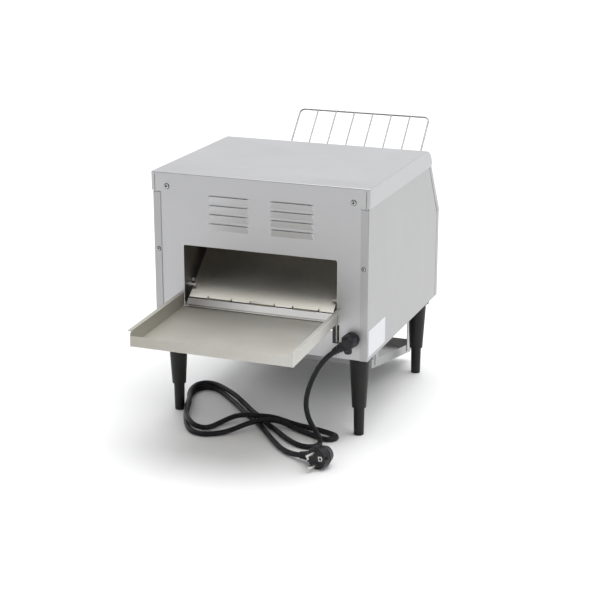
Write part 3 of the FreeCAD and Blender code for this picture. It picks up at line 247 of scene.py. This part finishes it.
def moulded_plastic(name, dark, light, rough, grain=900.0, depth=0.00005, **constants):
    """Moulded plastic: fine spark-eroded grain, uneven gloss and pale scuffs."""
    f = Finish(name, **constants)
    skin = f.noise(grain, (1, 1, 1), 3.0, 0.6)
    cloud = f.noise(30.0, (1, 1, 1), 3.0, 0.55)
    rub = f.noise(75.0, (1.0, 1.0, 3.0), 5.0, 0.68, 1.0)
    worn = tuple(min(1.0, c * 1.5 + 0.018) for c in light)
    colour = f.blend(f.levels(cloud, 0.3, 0.7, 0.0, 1.0), dark, light)
    f.colour(f.blend(f.levels(rub, 0.60, 0.78, 0.0, 0.5), colour, worn))
    f.roughness(f.levels(f.sum(cloud, rub, 0.7), 0.5, 1.2, rough[0], rough[1]))
    f.bump(skin, depth, 0.5)
    f.bump(cloud, 0.0002, 0.2)
    return f.material


def cord_sheath(name):
    """Soft black sheathing: satin, slightly wavy along its cores, with dust in the dull parts."""
    f = Finish(name, Specular_IOR_Level=0.28)
    dust = f.noise(140.0, (1, 1, 1), 5.0, 0.65)
    wave = f.noise(45.0, (1, 1, 1), 2.0, 0.5)
    f.colour(f.blend(f.levels(dust, 0.5, 0.8, 0.0, 0.5), (0.008, 0.008, 0.010), (0.022, 0.022, 0.026)))
    f.roughness(f.levels(f.sum(wave, dust, 0.6), 0.5, 1.1, 0.36, 0.55))
    f.bump(wave, 0.0006, 0.35)
    f.bump(f.noise(1500.0, (1, 1, 1), 2.0), 0.00003, 0.4)
    return f.material


def quartz_glass(name):
    """Milky quartz tube with a faint heater coil shade inside."""
    f = Finish(name, Transmission_Weight=0.55, IOR=1.46)
    bands = f.noise(1.0, (420.0, 20.0, 20.0), 1.0, 0.3)
    haze = f.noise(40.0, (1, 1, 1), 3.0)
    f.colour(f.blend(f.levels(bands, 0.42, 0.60, 0.0, 0.8), (0.86, 0.85, 0.82), (0.50, 0.44, 0.38)))
    f.roughness(f.levels(haze, 0.3, 0.7, 0.22, 0.42))
    f.bump(bands, 0.0002, 0.2)
    return f.material


def fired_ceramic(name):
    f = Finish(name)
    grit = f.noise(500.0, (1, 1, 1), 4.0, 0.6)
    stain = f.noise(50.0, (1, 1, 1), 4.0, 0.6)
    f.colour(f.blend(f.levels(stain, 0.4, 0.7, 0.0, 0.7), (0.78, 0.75, 0.69), (0.56, 0.50, 0.42)))
    f.roughness(f.levels(grit, 0.3, 0.7, 0.62, 0.82))
    f.bump(grit, 0.0001, 0.5)
    return f.material


def turned_brass(name):
    f = Finish(name, Metallic=1.0)
    rings = f.noise(1.0, (900.0, 60.0, 60.0), 2.0)
    age = f.noise(60.0, (1, 1, 1), 4.0, 0.6)
    f.colour(f.blend(f.levels(age, 0.35, 0.7, 0.0, 0.8), (0.62, 0.44, 0.17), (0.36, 0.26, 0.13)))
    f.roughness(f.levels(f.sum(rings, age), 0.6, 1.4, 0.22, 0.48))
    f.bump(rings, 0.00005, 0.4)
    return f.material


def lamp_lens(name):
    """Ribbed translucent amber lens."""
    f = Finish(name, Transmission_Weight=0.35, IOR=1.49, Coat_Weight=0.4)
    ribs = f.noise(1.0, (60.0, 60.0, 700.0), 1.0, 0.3)
    f.colour(f.blend(ribs, (0.80, 0.27, 0.02), (0.95, 0.46, 0.08)))
    f.roughness(f.levels(ribs, 0.3, 0.7, 0.12, 0.28))
    f.bump(ribs, 0.0003, 0.4)
    return f.material


def label_film(name):
    """Blank rating plate: pale film with a faint mottle."""
    f = Finish(name, Coat_Weight=0.25, Coat_Roughness=0.2)
    mottle = f.noise(60.0, (1, 1, 1), 3.0)
    f.colour(f.blend(mottle, (0.62, 0.64, 0.67), (0.70, 0.71, 0.74)))
    f.roughness(f.levels(mottle, 0.3, 0.7, 0.34, 0.50))
    f.bump(f.noise(26.0, (1, 1, 1), 2.0), 0.0004, 0.3)
    return f.material


def floor_paint(name):
    f = Finish(name)
    cloud = f.noise(1.3, (1, 1, 1), 3.0)
    f.colour(f.blend(cloud, (0.93, 0.93, 0.93), (0.95, 0.95, 0.95)))
    f.roughness(f.levels(cloud, 0.3, 0.7, 0.55, 0.70))
    return f.material


def finishes():
    """Every material by a short name."""
    made = {}
    made["sheet"] = steel_sheet("sheet_steel", "x", (0.49, 0.49, 0.497), (0.55, 0.55, 0.557), (0.42, 0.54))
    # side steel is sheet_steel darkened: painted shade for the side panels and the other parts it dresses
    made["side"] = steel_sheet("side_steel_painted_shade", "y", (0.42, 0.42, 0.42), (0.475, 0.475, 0.475), (0.42, 0.54))
    made["inner"] = steel_sheet("inner_steel", "y", (0.46, 0.455, 0.44), (0.56, 0.55, 0.53), (0.30, 0.46),
                                (0.34, 0.29, 0.22), 0.7)
    # the tray's last colour, passed as film, is painted shade that darkens its left end
    made["tray"] = steel_sheet("tray_steel", "x", (0.60, 0.595, 0.56), (0.68, 0.675, 0.64), (0.58, 0.70),
                               (0.62, 0.57, 0.51), 0.4, (0.49, 0.475, 0.42))
    made["polished"] = polished_sheet("polished_steel", (0.68, 0.655, 0.59), (0.76, 0.735, 0.67),
                                      (0.60, 0.56, 0.48), (0.30, 0.40))
    # the lip's last colour, passed as dull, is a painted dark reflection over its left end
    made["lip"] = polished_sheet("lip_steel", (0.91, 0.90, 0.88), (0.96, 0.95, 0.93), (0.84, 0.81, 0.76),
                                 (0.07, 0.12), (0.23, 0.22, 0.20))
    made["wire"] = drawn_wire("bright_wire", (0.27, 0.27, 0.28), (0.40, 0.40, 0.41))
    made["belt"] = drawn_wire("belt_wire", (0.45, 0.44, 0.42), (0.62, 0.61, 0.59), (0.36, 0.28, 0.18))
    made["zinc"] = zinc_plating("zinc_steel")
    made["leg"] = moulded_plastic("leg_black", (0.008, 0.008, 0.0075), (0.014, 0.014, 0.013), (0.36, 0.50),
                                  Specular_IOR_Level=0.30)
    made["black"] = moulded_plastic("black_plastic", (0.014, 0.014, 0.015), (0.024, 0.024, 0.025),
                                    (0.30, 0.46))
    made["switch"] = moulded_plastic("switch_grey", (0.22, 0.22, 0.23), (0.32, 0.32, 0.33), (0.4, 0.6))
    made["motor"] = moulded_plastic("motor_grey", (0.16, 0.17, 0.19), (0.23, 0.24, 0.26), (0.32, 0.5),
                                    400.0, 0.0001)
    made["moulding"] = moulded_plastic("cord_moulding", (0.008, 0.008, 0.010), (0.014, 0.014, 0.017),
                                       (0.32, 0.48), 700.0, 0.00006, Specular_IOR_Level=0.32)
    made["cord"] = cord_sheath("cord_black")
    made["brass"] = turned_brass("brass")
    made["quartz"] = quartz_glass("quartz")
    made["ceramic"] = fired_ceramic("ceramic")
    made["lamp"] = lamp_lens("lamp_amber")
    made["label"] = label_film("blank_label")
    made["nickel"] = drawn_wire("nickel", (0.60, 0.59, 0.56), (0.76, 0.75, 0.72))
    # painted shade: near-black finish that the recess cutters give to holes, slots and cross recesses
    made["recess"] = moulded_plastic("recess_painted_shade", (0.02, 0.02, 0.02), (0.05, 0.05, 0.05), (0.6, 0.8))
    made["marks"] = moulded_plastic("dial_print", (0.010, 0.010, 0.010), (0.020, 0.020, 0.020),
                                    (0.5, 0.7))
    made["floor"] = floor_paint("floor_paint")
    return made


CAD_FINISHES = {
    "sheet": ["top_cover", "rear_panel", "base_plate"],
    "side": ["left_side_panel", "right_side_panel", "loading_panel", "front_panel", "motor_bracket",
             "lower_tray", "left_tray_rail", "right_tray_rail"],
    "inner": ["left_inner_wall", "right_inner_wall"],
    "tray": ["rear_tray"],
    "polished": ["upper_reflector", "lower_reflector", "toast_ramp"],
    "lip": ["outlet_lip"],
    "wire": ["loading_rack", "rack_sockets"],
    "belt": ["conveyor_belt"],
    "black": ["heat_knob", "speed_knob", "fan_rotor", "thermal_cutout"],
    "switch": ["heat_switch", "speed_regulator"],
    "motor": ["gear_motor"],
    "moulding": ["cord_gland", "plug_body"],
    "cord": ["power_cord"],
    "brass": ["shaft_bushes"],
    "quartz": ["upper_elements", "lower_elements"],
    "ceramic": ["element_caps", "terminal_block"],
    "lamp": ["indicator_lamps"],
    "label": ["rating_plate"],
    "nickel": ["plug_pins"],
}


def finish_of(node):
    for name, nodes in CAD_FINISHES.items():
        if node in nodes:
            return name
    if node.endswith("_leg") or node.endswith("_foot"):
        return "leg"
    return "zinc"


def dress_cad(made):
    """Gives every CAD node its finish."""
    for node, piece in CAD.items():
        for slot in piece.material_slots:
            slot.material = made[finish_of(node)]


SHEET_NODES = ["top_cover", "rear_panel", "left_side_panel", "right_side_panel", "loading_panel",
               "front_panel", "rear_tray", "lower_tray", "outlet_lip", "toast_ramp", "base_plate",
               "left_inner_wall", "right_inner_wall", "left_tray_rail", "right_tray_rail"]
EDGE_ROUNDING = 0.28             # mm
WELD_GAP = 0.002                 # mm


def soften_edges():
    """Rounds the cut edges of the sheet-metal nodes, so that they catch light."""
    for node in SHEET_NODES:
        piece = CAD[node]
        weld = piece.modifiers.new("weld", "WELD")
        weld.merge_threshold = mm(WELD_GAP)
        bevel = piece.modifiers.new("bevel", "BEVEL")
        bevel.width = mm(EDGE_ROUNDING)
        bevel.segments = 2
        bevel.limit_method = "ANGLE"
        bevel.angle_limit = math.radians(40)
        bevel.harden_normals = True


# ---- mesh helpers -----------------------------------------------------------------------------
SHARP_ANGLE = 35


def axes_at(origin, forward, up):
    """Matrix whose Z points forward and whose X is as near to up as it can be."""
    z = Vector(forward).normalized()
    x = (Vector(up) - z * Vector(up).dot(z)).normalized()
    turned = Matrix((x, z.cross(x), z)).transposed().to_4x4()
    turned.translation = Vector(origin)
    return turned


def add_lathe(mesh, profile, place, steps=48):
    """Adds a turned solid: profile is (radius, height) pairs in millimetres about place's Z axis."""
    rings = []
    for radius, height in profile:
        if radius < 1e-6:
            rings.append([mesh.verts.new(place @ Vector((0, 0, mm(height))))])
            continue
        ring = []
        for k in range(steps):
            a = 2 * math.pi * k / steps
            at = Vector((mm(radius) * math.cos(a), mm(radius) * math.sin(a), mm(height)))
            ring.append(mesh.verts.new(place @ at))
        rings.append(ring)
    for low, high in zip(rings, rings[1:]):
        join_rings(mesh, low, high)
    for ring, flip in ((rings[0], True), (rings[-1], False)):
        if len(ring) > 1:
            mesh.faces.new(list(reversed(ring)) if flip else ring)


def join_rings(mesh, low, high):
    """Faces between two rings, either of which may be a single point."""
    steps = max(len(low), len(high))
    for k in range(steps):
        n = (k + 1) % steps
        if len(low) == 1:
            mesh.faces.new((low[0], high[n], high[k])[::-1])
        elif len(high) == 1:
            mesh.faces.new((low[k], low[n], high[0]))
        else:
            mesh.faces.new((low[k], low[n], high[n], high[k]))


def add_tube(mesh, points, radius, sides):
    """Adds a round tube through points in metres."""
    side = None
    rings = []
    for k, point in enumerate(points):
        before = points[max(k - 1, 0)]
        after = points[min(k + 1, len(points) - 1)]
        ahead = (after - before).normalized()
        if side is None:
            side = ahead.orthogonal().normalized()
        side = (side - ahead * side.dot(ahead)).normalized()
        up = ahead.cross(side)
        ring = []
        for j in range(sides):
            a = 2 * math.pi * j / sides
            ring.append(mesh.verts.new(point + (side * math.cos(a) + up * math.sin(a)) * radius))
        rings.append(ring)
    for low, high in zip(rings, rings[1:]):
        join_rings(mesh, low, high)
    mesh.faces.new(list(reversed(rings[0])))
    mesh.faces.new(rings[-1])


def add_box(mesh, place, size, middle):
    """Adds a box of a size in millimetres about a middle in place's axes."""
    corners = bmesh.ops.create_cube(mesh, size=1.0)["verts"]
    for v in corners:
        v.co = place @ Vector([mm(m + c * s) for m, c, s in zip(middle, v.co, size)])


def piece_from(mesh, name, material, smooth=True):
    """Object of a bmesh, with its faces turned outwards."""
    bmesh.ops.recalc_face_normals(mesh, faces=mesh.faces)
    data = bpy.data.meshes.new(name)
    mesh.to_mesh(data)
    mesh.free()
    data.materials.append(material)
    made = bpy.data.objects.new(name, data)
    SCENE.collection.objects.link(made)
    if smooth:
        smooth_faces(made)
    return made


def smooth_faces(made):
    """Smooth shading, with the edges that turn by more than SHARP_ANGLE kept crisp."""
    made.data.shade_smooth()
    made.data.set_sharp_from_angle(angle=math.radians(SHARP_ANGLE))


def settle(made):
    """Applies a piece's modifiers to its mesh."""
    bpy.context.view_layer.update()
    shape = made.evaluated_get(bpy.context.evaluated_depsgraph_get())
    data = bpy.data.meshes.new_from_object(shape)
    made.modifiers.clear()
    made.data = data


def fuse_moulding(made, voxel, relax):
    """Melts overlapping solids into one skin with rounded meetings, as in a moulding."""
    remesh = made.modifiers.new("fuse", "REMESH")
    remesh.mode = "VOXEL"
    remesh.voxel_size = mm(voxel)
    soften = made.modifiers.new("soften", "SMOOTH")
    soften.factor = 0.5
    soften.iterations = relax
    settle(made)
    made.data.shade_smooth()


# ---- mains lead -------------------------------------------------------------------------------
def plug_axes():
    """Direction of the pins and direction in which the plug's tail and the cord leave it."""
    out = Vector(PIN_DIRECTION).normalized()
    side = Vector((out.y, -out.x, 0))
    tail = side * math.cos(PLUG_ROLL) - Vector((0, 0, math.sin(PLUG_ROLL)))
    return out, tail


def plug_root():
    return Vector(PLUG_FACE) - plug_axes()[0] * PLUG_SETBACK


def cord_route():
    """Middle of the mains lead in millimetres, from the gland to the plug."""
    z = CORD_R                   # lying on the table
    top = 13.0                   # lying on the lobe's lower strand
    over = 14.0                  # crossing over other strands
    stub = Vector(GLAND_EXIT).normalized()
    gland_end = Vector(GLAND_CENTRE) + stub * GLAND_REACH
    tail = plug_axes()[1]
    plug_end = plug_root() + tail * PLUG_REACH
    hanging = [gland_end, gland_end + stub * 22.0, (113, -18.7, 132.5), (101.5, -19, 112),
               (92, -19.5, 88.5), (87.3, -20.5, 64), (90.5, -21.5, 43), (99, -23.5, 27),
               (109.5, -26.5, 15), (117.5, -32, 6.5)]
    first_strand = [(119.5, -43, z), (115, -55.5, z), (101, -61, z), (83, -55, z), (59, -37.5, z),
                    (34.5, -13.5, z), (10.5, 7, z), (-12, 31.5, z), (-36.5, 52.5, z), (-60, 76, 6.5),
                    (-86, 96, 11.5)]
    lobe_above = [(-113, 114.5, top), (-135, 129, top), (-153, 132.5, top), (-166, 122.5, top),
                  (-169, 103, top), (-163.5, 75, top), (-150.5, 48, top), (-140.5, 13, top),
                  (-124, -21, top), (-110, -42, top), (-96, -53, 11)]
    upper_crossing = [(-82, -51.5, 7), (-73.5, -39, 4.5), (-68, -20, z), (-61, -2, 5.5), (-48.5, 8, 10.5),
                      (-30, 12, over), (-8, 14.5, over), (14, 18.5, over), (35, 20, 9.5), (57, 20.5, 4.8),
                      (79, 18, z)]
    hairpin = [(101, 13, z), (118, 7.5, z), (131, 1.5, z), (136.5, -8, z), (130.5, -18.5, z), (117, -20, z),
               (98, -11.5, z)]
    lower_crossing = [(76, -2.5, z), (55, 6, 5.5), (35, 9.5, 11), (16, 5.5, over), (-1, -6, over),
                      (-14, -20, 12.5), (-26.5, -34, 8.5), (-40, -48, 4.8), (-55, -61.5, z), (-75, -70.5, z),
                      (-95, -65.5, z)]
    lobe_below = [(-110.5, -47.5, z), (-125, -22, z), (-140.8, 12.5, z), (-151, 48, z), (-164, 75.5, z),
                  (-168.5, 104, z), (-165, 122.5, z), (-153, 132, z), (-134, 128, z), (-114, 112, z),
                  (-93, 91, z)]
    last_strand = [(-68, 67, z), (-45, 40, z), (-20, 19, z), (4, -5, z), (26, -32.5, z), (49, -60, z),
                   (72, -84, z), plug_end + tail * 16.0, plug_end]
    route = hanging + first_strand + lobe_above + upper_crossing + hairpin + lower_crossing
    return route + lobe_below + last_strand


def power_cord(made):
    """The lead's sheath as one smooth spline through its route."""
    line = bpy.data.curves.new("mains_lead", "CURVE")
    line.dimensions = "3D"
    route = [spot(*point) for point in cord_route()]
    spline = line.splines.new("NURBS")
    spline.points.add(len(route) - 1)
    for point, place in zip(spline.points, route):
        point.co = (*place, 1.0)
    spline.order_u = 3
    spline.use_endpoint_u = True
    spline.resolution_u = 10
    line.bevel_depth = mm(CORD_R)
    line.bevel_resolution = 6
    line.use_fill_caps = True
    line.materials.append(made["cord"])
    lead = bpy.data.objects.new("mains_lead", line)
    SCENE.collection.objects.link(lead)
    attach(lead, "root")
    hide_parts("power_cord")
    return lead, route[0]


# ---- moulded and turned pieces -----------------------------------------------------------------
def carve(made, cutter, crossed=False):
    """Cuts a shape out of a piece; the cut faces take the cutter's finish.

    A cutter is crossed when its own solids overlap.
    """
    cut = made.modifiers.new("carve", "BOOLEAN")
    cut.operation = "DIFFERENCE"
    cut.solver = "EXACT"
    cut.use_self = crossed
    cut.material_mode = "TRANSFER"
    cut.object = cutter
    settle(made)
    bpy.data.objects.remove(cutter)


def declare(piece, body, slot, *nodes):
    """Puts a piece on its body, in the place of the CAD nodes it stands for; the colour slot is not used."""
    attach(piece, body)
    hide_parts(*nodes)


def ribbed(mesh, place, start, end, wide, narrow, ribs):
    """Adds a tapered sleeve with ribs, from start to end along place's Z axis, in millimetres."""
    profile = [(wide, start)]
    step = (end - start) / (ribs + 0.5)
    for k in range(ribs):
        low = start + step * (k + 0.5)
        radius = wide + (narrow - wide) * (low + step / 2 - start) / (end - start)
        profile += [(radius - 0.9, low), (radius - 0.9, low + 0.38 * step), (radius, low + 0.48 * step),
                    (radius, low + 0.95 * step)]
    profile.append((narrow, end))
    add_lathe(mesh, profile, place)


def strain_relief(made):
    """Clamp housing on the rear panel, with its boss, screw recess and the sleeve round the lead."""
    x, y, z = GLAND_CENTRE
    mesh = bmesh.new()
    outward = axes_at(spot(x, 0, z), (0, -1, 0), (0, 0, 1))
    add_lathe(mesh, [(12.5, 0.1), (12.5, 4.2), (11.9, 5.0), (11.0, 5.4), (11.0, 20.5), (10.3, 23.6),
                     (8.2, 25.6), (5.0, 26.1)], outward)
    add_box(mesh, outward, (3.2, 21.0, 19.0), (6.5, 0.0, 12.0))
    boss = axes_at(spot(x, y - 1, z), (0, 0, -1), (0, 1, 0))
    add_lathe(mesh, [(6.4, 0.0), (6.2, 15.6), (5.4, 17.4), (3.0, 18.2)], boss)
    sleeve = axes_at(spot(x, y, z), GLAND_EXIT, (0, 1, 0))
    ribbed(mesh, sleeve, 6.0, 30.0, 8.6, 5.3, 4)
    piece = piece_from(mesh, "cord_strain_relief", made["moulding"])
    fuse_moulding(piece, 0.5, 4)
    # the clamp screw's recess is cut with the dark recess finish: painted shade inside the hole
    recess = bmesh.new()
    screw = axes_at(spot(x, y - 7.4, z - 13.0), (0, -1, 0), (0, 0, 1))
    add_lathe(recess, [(2.6, -1.4), (2.6, 3.0)], screw, 24)
    carve(piece, piece_from(recess, "clamp_recess", made["recess"]))
    declare(piece, "root", "cord_black", "cord_gland", "gland_screw")
    return piece


def moulded_plug(made):
    """Angled plug: round face, domed back with a grip rim and a ribbed tail, as one moulding."""
    out, tail = plug_axes()
    face = Vector(PLUG_FACE)
    along_pins = axes_at(spot(*face), out, tail)
    mesh = bmesh.new()
    r = PLUG_R
    add_lathe(mesh, [(r - 7.5, -30.0), (r - 5.4, -29.0), (r - 1.4, -19.0), (r - 0.2, -16.4),
                     (r - 0.2, -15.2), (r - 1.0, -14.6), (r - 1.0, -13.4), (r, -12.8), (r, -1.2),
                     (r - 1.2, 0.0)], along_pins)
    along_tail = axes_at(spot(*plug_root()), tail, out)
    ribbed(mesh, along_tail, 8.0, PLUG_REACH, 9.4, 5.6, 6)
    add_box(mesh, along_tail, (17.0, 15.0, 14.0), (0.0, 0.0, 14.0))
    piece = piece_from(mesh, "moulded_plug", made["moulding"])
    fuse_moulding(piece, 0.45, 4)
    # the earth socket and the rim notch are cut with the dark recess finish: painted shade inside them
    recess = bmesh.new()
    earth_socket = axes_at(spot(*(face - tail * 10)), out, tail)
    add_lathe(recess, [(2.4, -14.0), (2.4, 2.0)], earth_socket, 24)
    rim_notch = axes_at(spot(*(face - tail * (r - 1.2))), out, tail)
    add_lathe(recess, [(3.0, -9.0), (3.0, 2.0)], rim_notch, 24)
    carve(piece, piece_from(recess, "plug_recess", made["recess"]))
    declare(piece, "root", "cord_black", "plug_body")
    return piece


def screw_heads(made, name, node, places, radius, height):
    """Pan-head screws with a cross recess painted dark as shade, each on a dark ring of painted shadow,
    facing the discharge side.
    """
    heads = bmesh.new()
    shadow_rings = bmesh.new()
    cross = bmesh.new()
    for at in places:
        place = axes_at(spot(*at), (0, -1, 0), (0, 0, 1))
        add_lathe(heads, [(radius - 0.2, 0.1), (radius, 0.3), (radius, 0.45 * height),
                          (0.90 * radius, 0.78 * height), (0.6 * radius, height),
                          (0.0, 1.04 * height)], place, 40)
        # painted shadow: a thin dark ring round the foot of each head
        add_lathe(shadow_rings, [(radius + 0.8, -0.1), (radius + 0.8, 0.12), (radius + 0.5, 0.25),
                          (0.0, 0.25)], place, 40)
        # the cross recess is cut with the dark recess finish: painted shade inside it
        add_lathe(cross, [(0.34 * radius, 0.35 * height), (0.42 * radius, 2.0 * height)], place, 24)
        for size in ((1.3, 1.3 * radius, 1.6 * height), (1.3 * radius, 1.3, 1.6 * height)):
            add_box(cross, place, size, (0, 0, 1.35 * height))
    piece = piece_from(heads, name, made["zinc"])
    carve(piece, piece_from(cross, name + "_recess", made["recess"]), crossed=True)
    smooth_faces(piece)
    declare(piece, "root", "zinc_steel", node)
    rings = piece_from(shadow_rings, name + "_seats", made["recess"])
    declare(rings, "root", "zinc_steel", node)


# ---- wire belt ----------------------------------------------------------------------------------
DRIVE_Y = 95.0
SHAFT_Z = 322.0
PITCH_R = 20.0
BELT_RODS = 42
BELT_PITCH = 2 * math.pi * PITCH_R / 8
BELT_RUN = (BELT_RODS - 8) * BELT_PITCH / 2
BELT_HALF = 115.0
BELT_WIRE_R = 1.1
HOOK_X = (-113.0, -70.0, 0.0, 70.0, 113.0)
HOOK_SHIFT = 1.9
HOOK_WIRE_R = 0.85
HOOK_PATH = ((0.0, 0.0), (5.0, 1.1), (11.0, 1.9), (BELT_PITCH, 2.1), (BELT_PITCH + 1.8, 0.9),
             (BELT_PITCH + 1.7, -0.9), (BELT_PITCH - 0.4, -1.9))


def belt_spot(x, travel, rise=0.0):
    """Place on the belt: distance along its pitch line from above the drive shaft, and height off it."""
    wrap = math.pi * PITCH_R
    s = travel % (2 * (BELT_RUN + wrap))
    r = PITCH_R + rise
    if s < BELT_RUN:
        return spot(x, DRIVE_Y + s, SHAFT_Z + r)
    if s < BELT_RUN + wrap:
        angle = math.pi / 2 - (s - BELT_RUN) / PITCH_R
        return spot(x, DRIVE_Y + BELT_RUN + r * math.cos(angle), SHAFT_Z + r * math.sin(angle))
    if s < 2 * BELT_RUN + wrap:
        return spot(x, DRIVE_Y + 2 * BELT_RUN + wrap - s, SHAFT_Z - r)
    angle = -math.pi / 2 - (s - 2 * BELT_RUN - wrap) / PITCH_R
    return spot(x, DRIVE_Y + r * math.cos(angle), SHAFT_Z + r * math.sin(angle))


def wire_belt(made):
    """Belt of bent wires: each cross wire hooks over the next one at five places."""
    mesh = bmesh.new()
    for k in range(BELT_RODS):
        s = k * BELT_PITCH
        rod = [belt_spot(x, s) for x in (-BELT_HALF, -40.0, 40.0, BELT_HALF)]
        add_tube(mesh, rod, mm(BELT_WIRE_R), 8)
        for x in HOOK_X:
            beside = x + (HOOK_SHIFT if k % 2 else -HOOK_SHIFT)
            hook = [belt_spot(beside, s + ahead, rise) for ahead, rise in HOOK_PATH]
            add_tube(mesh, hook, mm(HOOK_WIRE_R), 7)
    piece = piece_from(mesh, "wire_belt", made["belt"])
    declare(piece, "root", "bright_wire", "conveyor_belt")


# ---- controls -----------------------------------------------------------------------------------
FRONT_FACE = 393.0
KNOB_Z = 214.0
KNOB_X = {"heat_knob": 62.0, "speed_knob": -62.0}
KNOB_FLUTES = 24
FLUTE_DEPTH = 0.028              # share of the skirt's radius
DIAL_TICKS = 10


def press_flutes(mesh, place):
    """Presses grip flutes into the rim of a knob's skirt."""
    for v in mesh.verts:
        local = place.inverted() @ v.co
        if math.hypot(local.x, local.y) > mm(17.5) and mm(0.3) < local.z < mm(3.9):
            turn = math.atan2(local.y, local.x)
            local.xy = local.xy * (1.0 - FLUTE_DEPTH * (0.5 - 0.5 * math.cos(KNOB_FLUTES * turn)))
            v.co = place @ local


def control_knob(made, name, x):
    """Knob with a fluted skirt, a rounded grip and an inlaid pointer."""
    outward = axes_at(spot(x, FRONT_FACE + 1.5, KNOB_Z), (0, 1, 0), (0, 0, 1))
    mesh = bmesh.new()
    add_lathe(mesh, [(17.2, 0.0), (19.0, 0.4), (19.0, 2.2), (17.8, 4.0), (13.0, 4.8)], outward, 96)
    press_flutes(mesh, outward)
    add_box(mesh, outward, (31.0, 9.0, 13.5), (0.0, 0.0, 9.6))
    add_lathe(mesh, [(3.0, -16.0), (3.0, 1.0)], outward, 24)
    piece = piece_from(mesh, name + "_moulding", made["black"])
    fuse_moulding(piece, 0.45, 5)
    inlay = bmesh.new()
    add_box(inlay, outward, (9.5, 1.5, 1.6), (9.8, 0.0, 16.4))
    carve(piece, piece_from(inlay, name + "_inlay", made["label"]))
    declare(piece, name, "black_plastic", name)


def dial_marks(made):
    """Printed ticks round each knob, growing longer clockwise."""
    mesh = bmesh.new()
    for x in sorted(KNOB_X.values()):
        for k in range(DIAL_TICKS):
            angle = math.radians(135 - 30 * k)
            outwards = (math.sin(angle), 0, math.cos(angle))
            place = axes_at(spot(x, FRONT_FACE, KNOB_Z), (0, 1, 0), outwards)
            length = 2.4 + 0.35 * k
            add_box(mesh, place, (length, 0.9, 0.16), (22.0 + length / 2, 0.0, 0.09))
    piece = piece_from(mesh, "dial_marks", made["marks"], smooth=False)
    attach(piece, "root")


def details(made):
    """Every piece that stands for a plainer CAD node."""
    cover_places = [(x, -2.2, 394.4) for x in (-159.0, 159.0)]
    screw_heads(made, "cover_screw_heads", "cover_screws", cover_places, 4.0, 2.4)
    flange_places = [(x, -1.1, 289.0) for x in (-176.0, 176.0)]
    screw_heads(made, "flange_screw_heads", "flange_screws", flange_places, 3.0, 1.8)
    wire_belt(made)
    for name, x in KNOB_X.items():
        control_knob(made, name, x)
    dial_marks(made)


# ---- studio -----------------------------------------------------------------------------------
FLOOR_HALF = 14.0
AIR_SHADES = (("X", -0.9, 0.7, 0.80, 0.89), ("Y", -0.8, 0.15, 0.42, 1.16))
AIR_COLOUR = (0.985, 0.99, 1.0, 1.0)
OVERHEAD = ("overhead", (0.12, 0.10, 1.0), 1.9, 55)


def floor(made):
    mesh = bmesh.new()
    bmesh.ops.create_grid(mesh, x_segments=8, y_segments=8, size=FLOOR_HALF)
    ground = piece_from(mesh, "floor", made["floor"], smooth=False)


def sky_light(name, towards, strength, spread):
    """Even light from a patch of the ceiling that is spread degrees wide."""
    data = bpy.data.lights.new(name, "SUN")
    data.energy = strength
    data.angle = math.radians(spread)
    lamp = bpy.data.objects.new(name, data)
    SCENE.collection.objects.link(lamp)
    lamp.location = (0, 0, 3)
    lamp.rotation_euler = Vector(towards).to_track_quat("Z", "Y").to_euler()


def studio_air():
    """White surroundings that are dimmer on the discharge side and a little dimmer on the left."""
    world = bpy.data.worlds.new("studio")
    world.use_nodes = True
    SCENE.world = world
    tree = world.node_tree
    back = tree.nodes["Background"]
    where = tree.nodes.new("ShaderNodeTexCoord")
    parts = tree.nodes.new("ShaderNodeSeparateXYZ")
    tree.links.new(where.outputs["Generated"], parts.inputs[0])
    shades = []
    for axis, *levels in AIR_SHADES:
        shade = tree.nodes.new("ShaderNodeMapRange")
        tree.links.new(parts.outputs[axis], shade.inputs["Value"])
        for socket, value in zip(("From Min", "From Max", "To Min", "To Max"), levels):
            shade.inputs[socket].default_value = value
        shades.append(shade.outputs[0])
    both = tree.nodes.new("ShaderNodeMath")
    both.operation = "MULTIPLY"
    for socket, shade in zip(both.inputs, shades):
        tree.links.new(shade, socket)
    tree.links.new(both.outputs[0], back.inputs["Strength"])
    back.inputs["Color"].default_value = AIR_COLOUR


def studio(made):
    floor(made)
    studio_air()
    sky_light(*OVERHEAD)
    SCENE.view_settings.view_transform = "Standard"


# ---- assembly ---------------------------------------------------------------------------------
def build():
    made = finishes()
    camera()
    dress_cad(made)
    soften_edges()
    lead, exit_place = power_cord(made)
    pieces = [moulded_plug(made), strain_relief(made)]
    details(made)
    studio(made)


build()
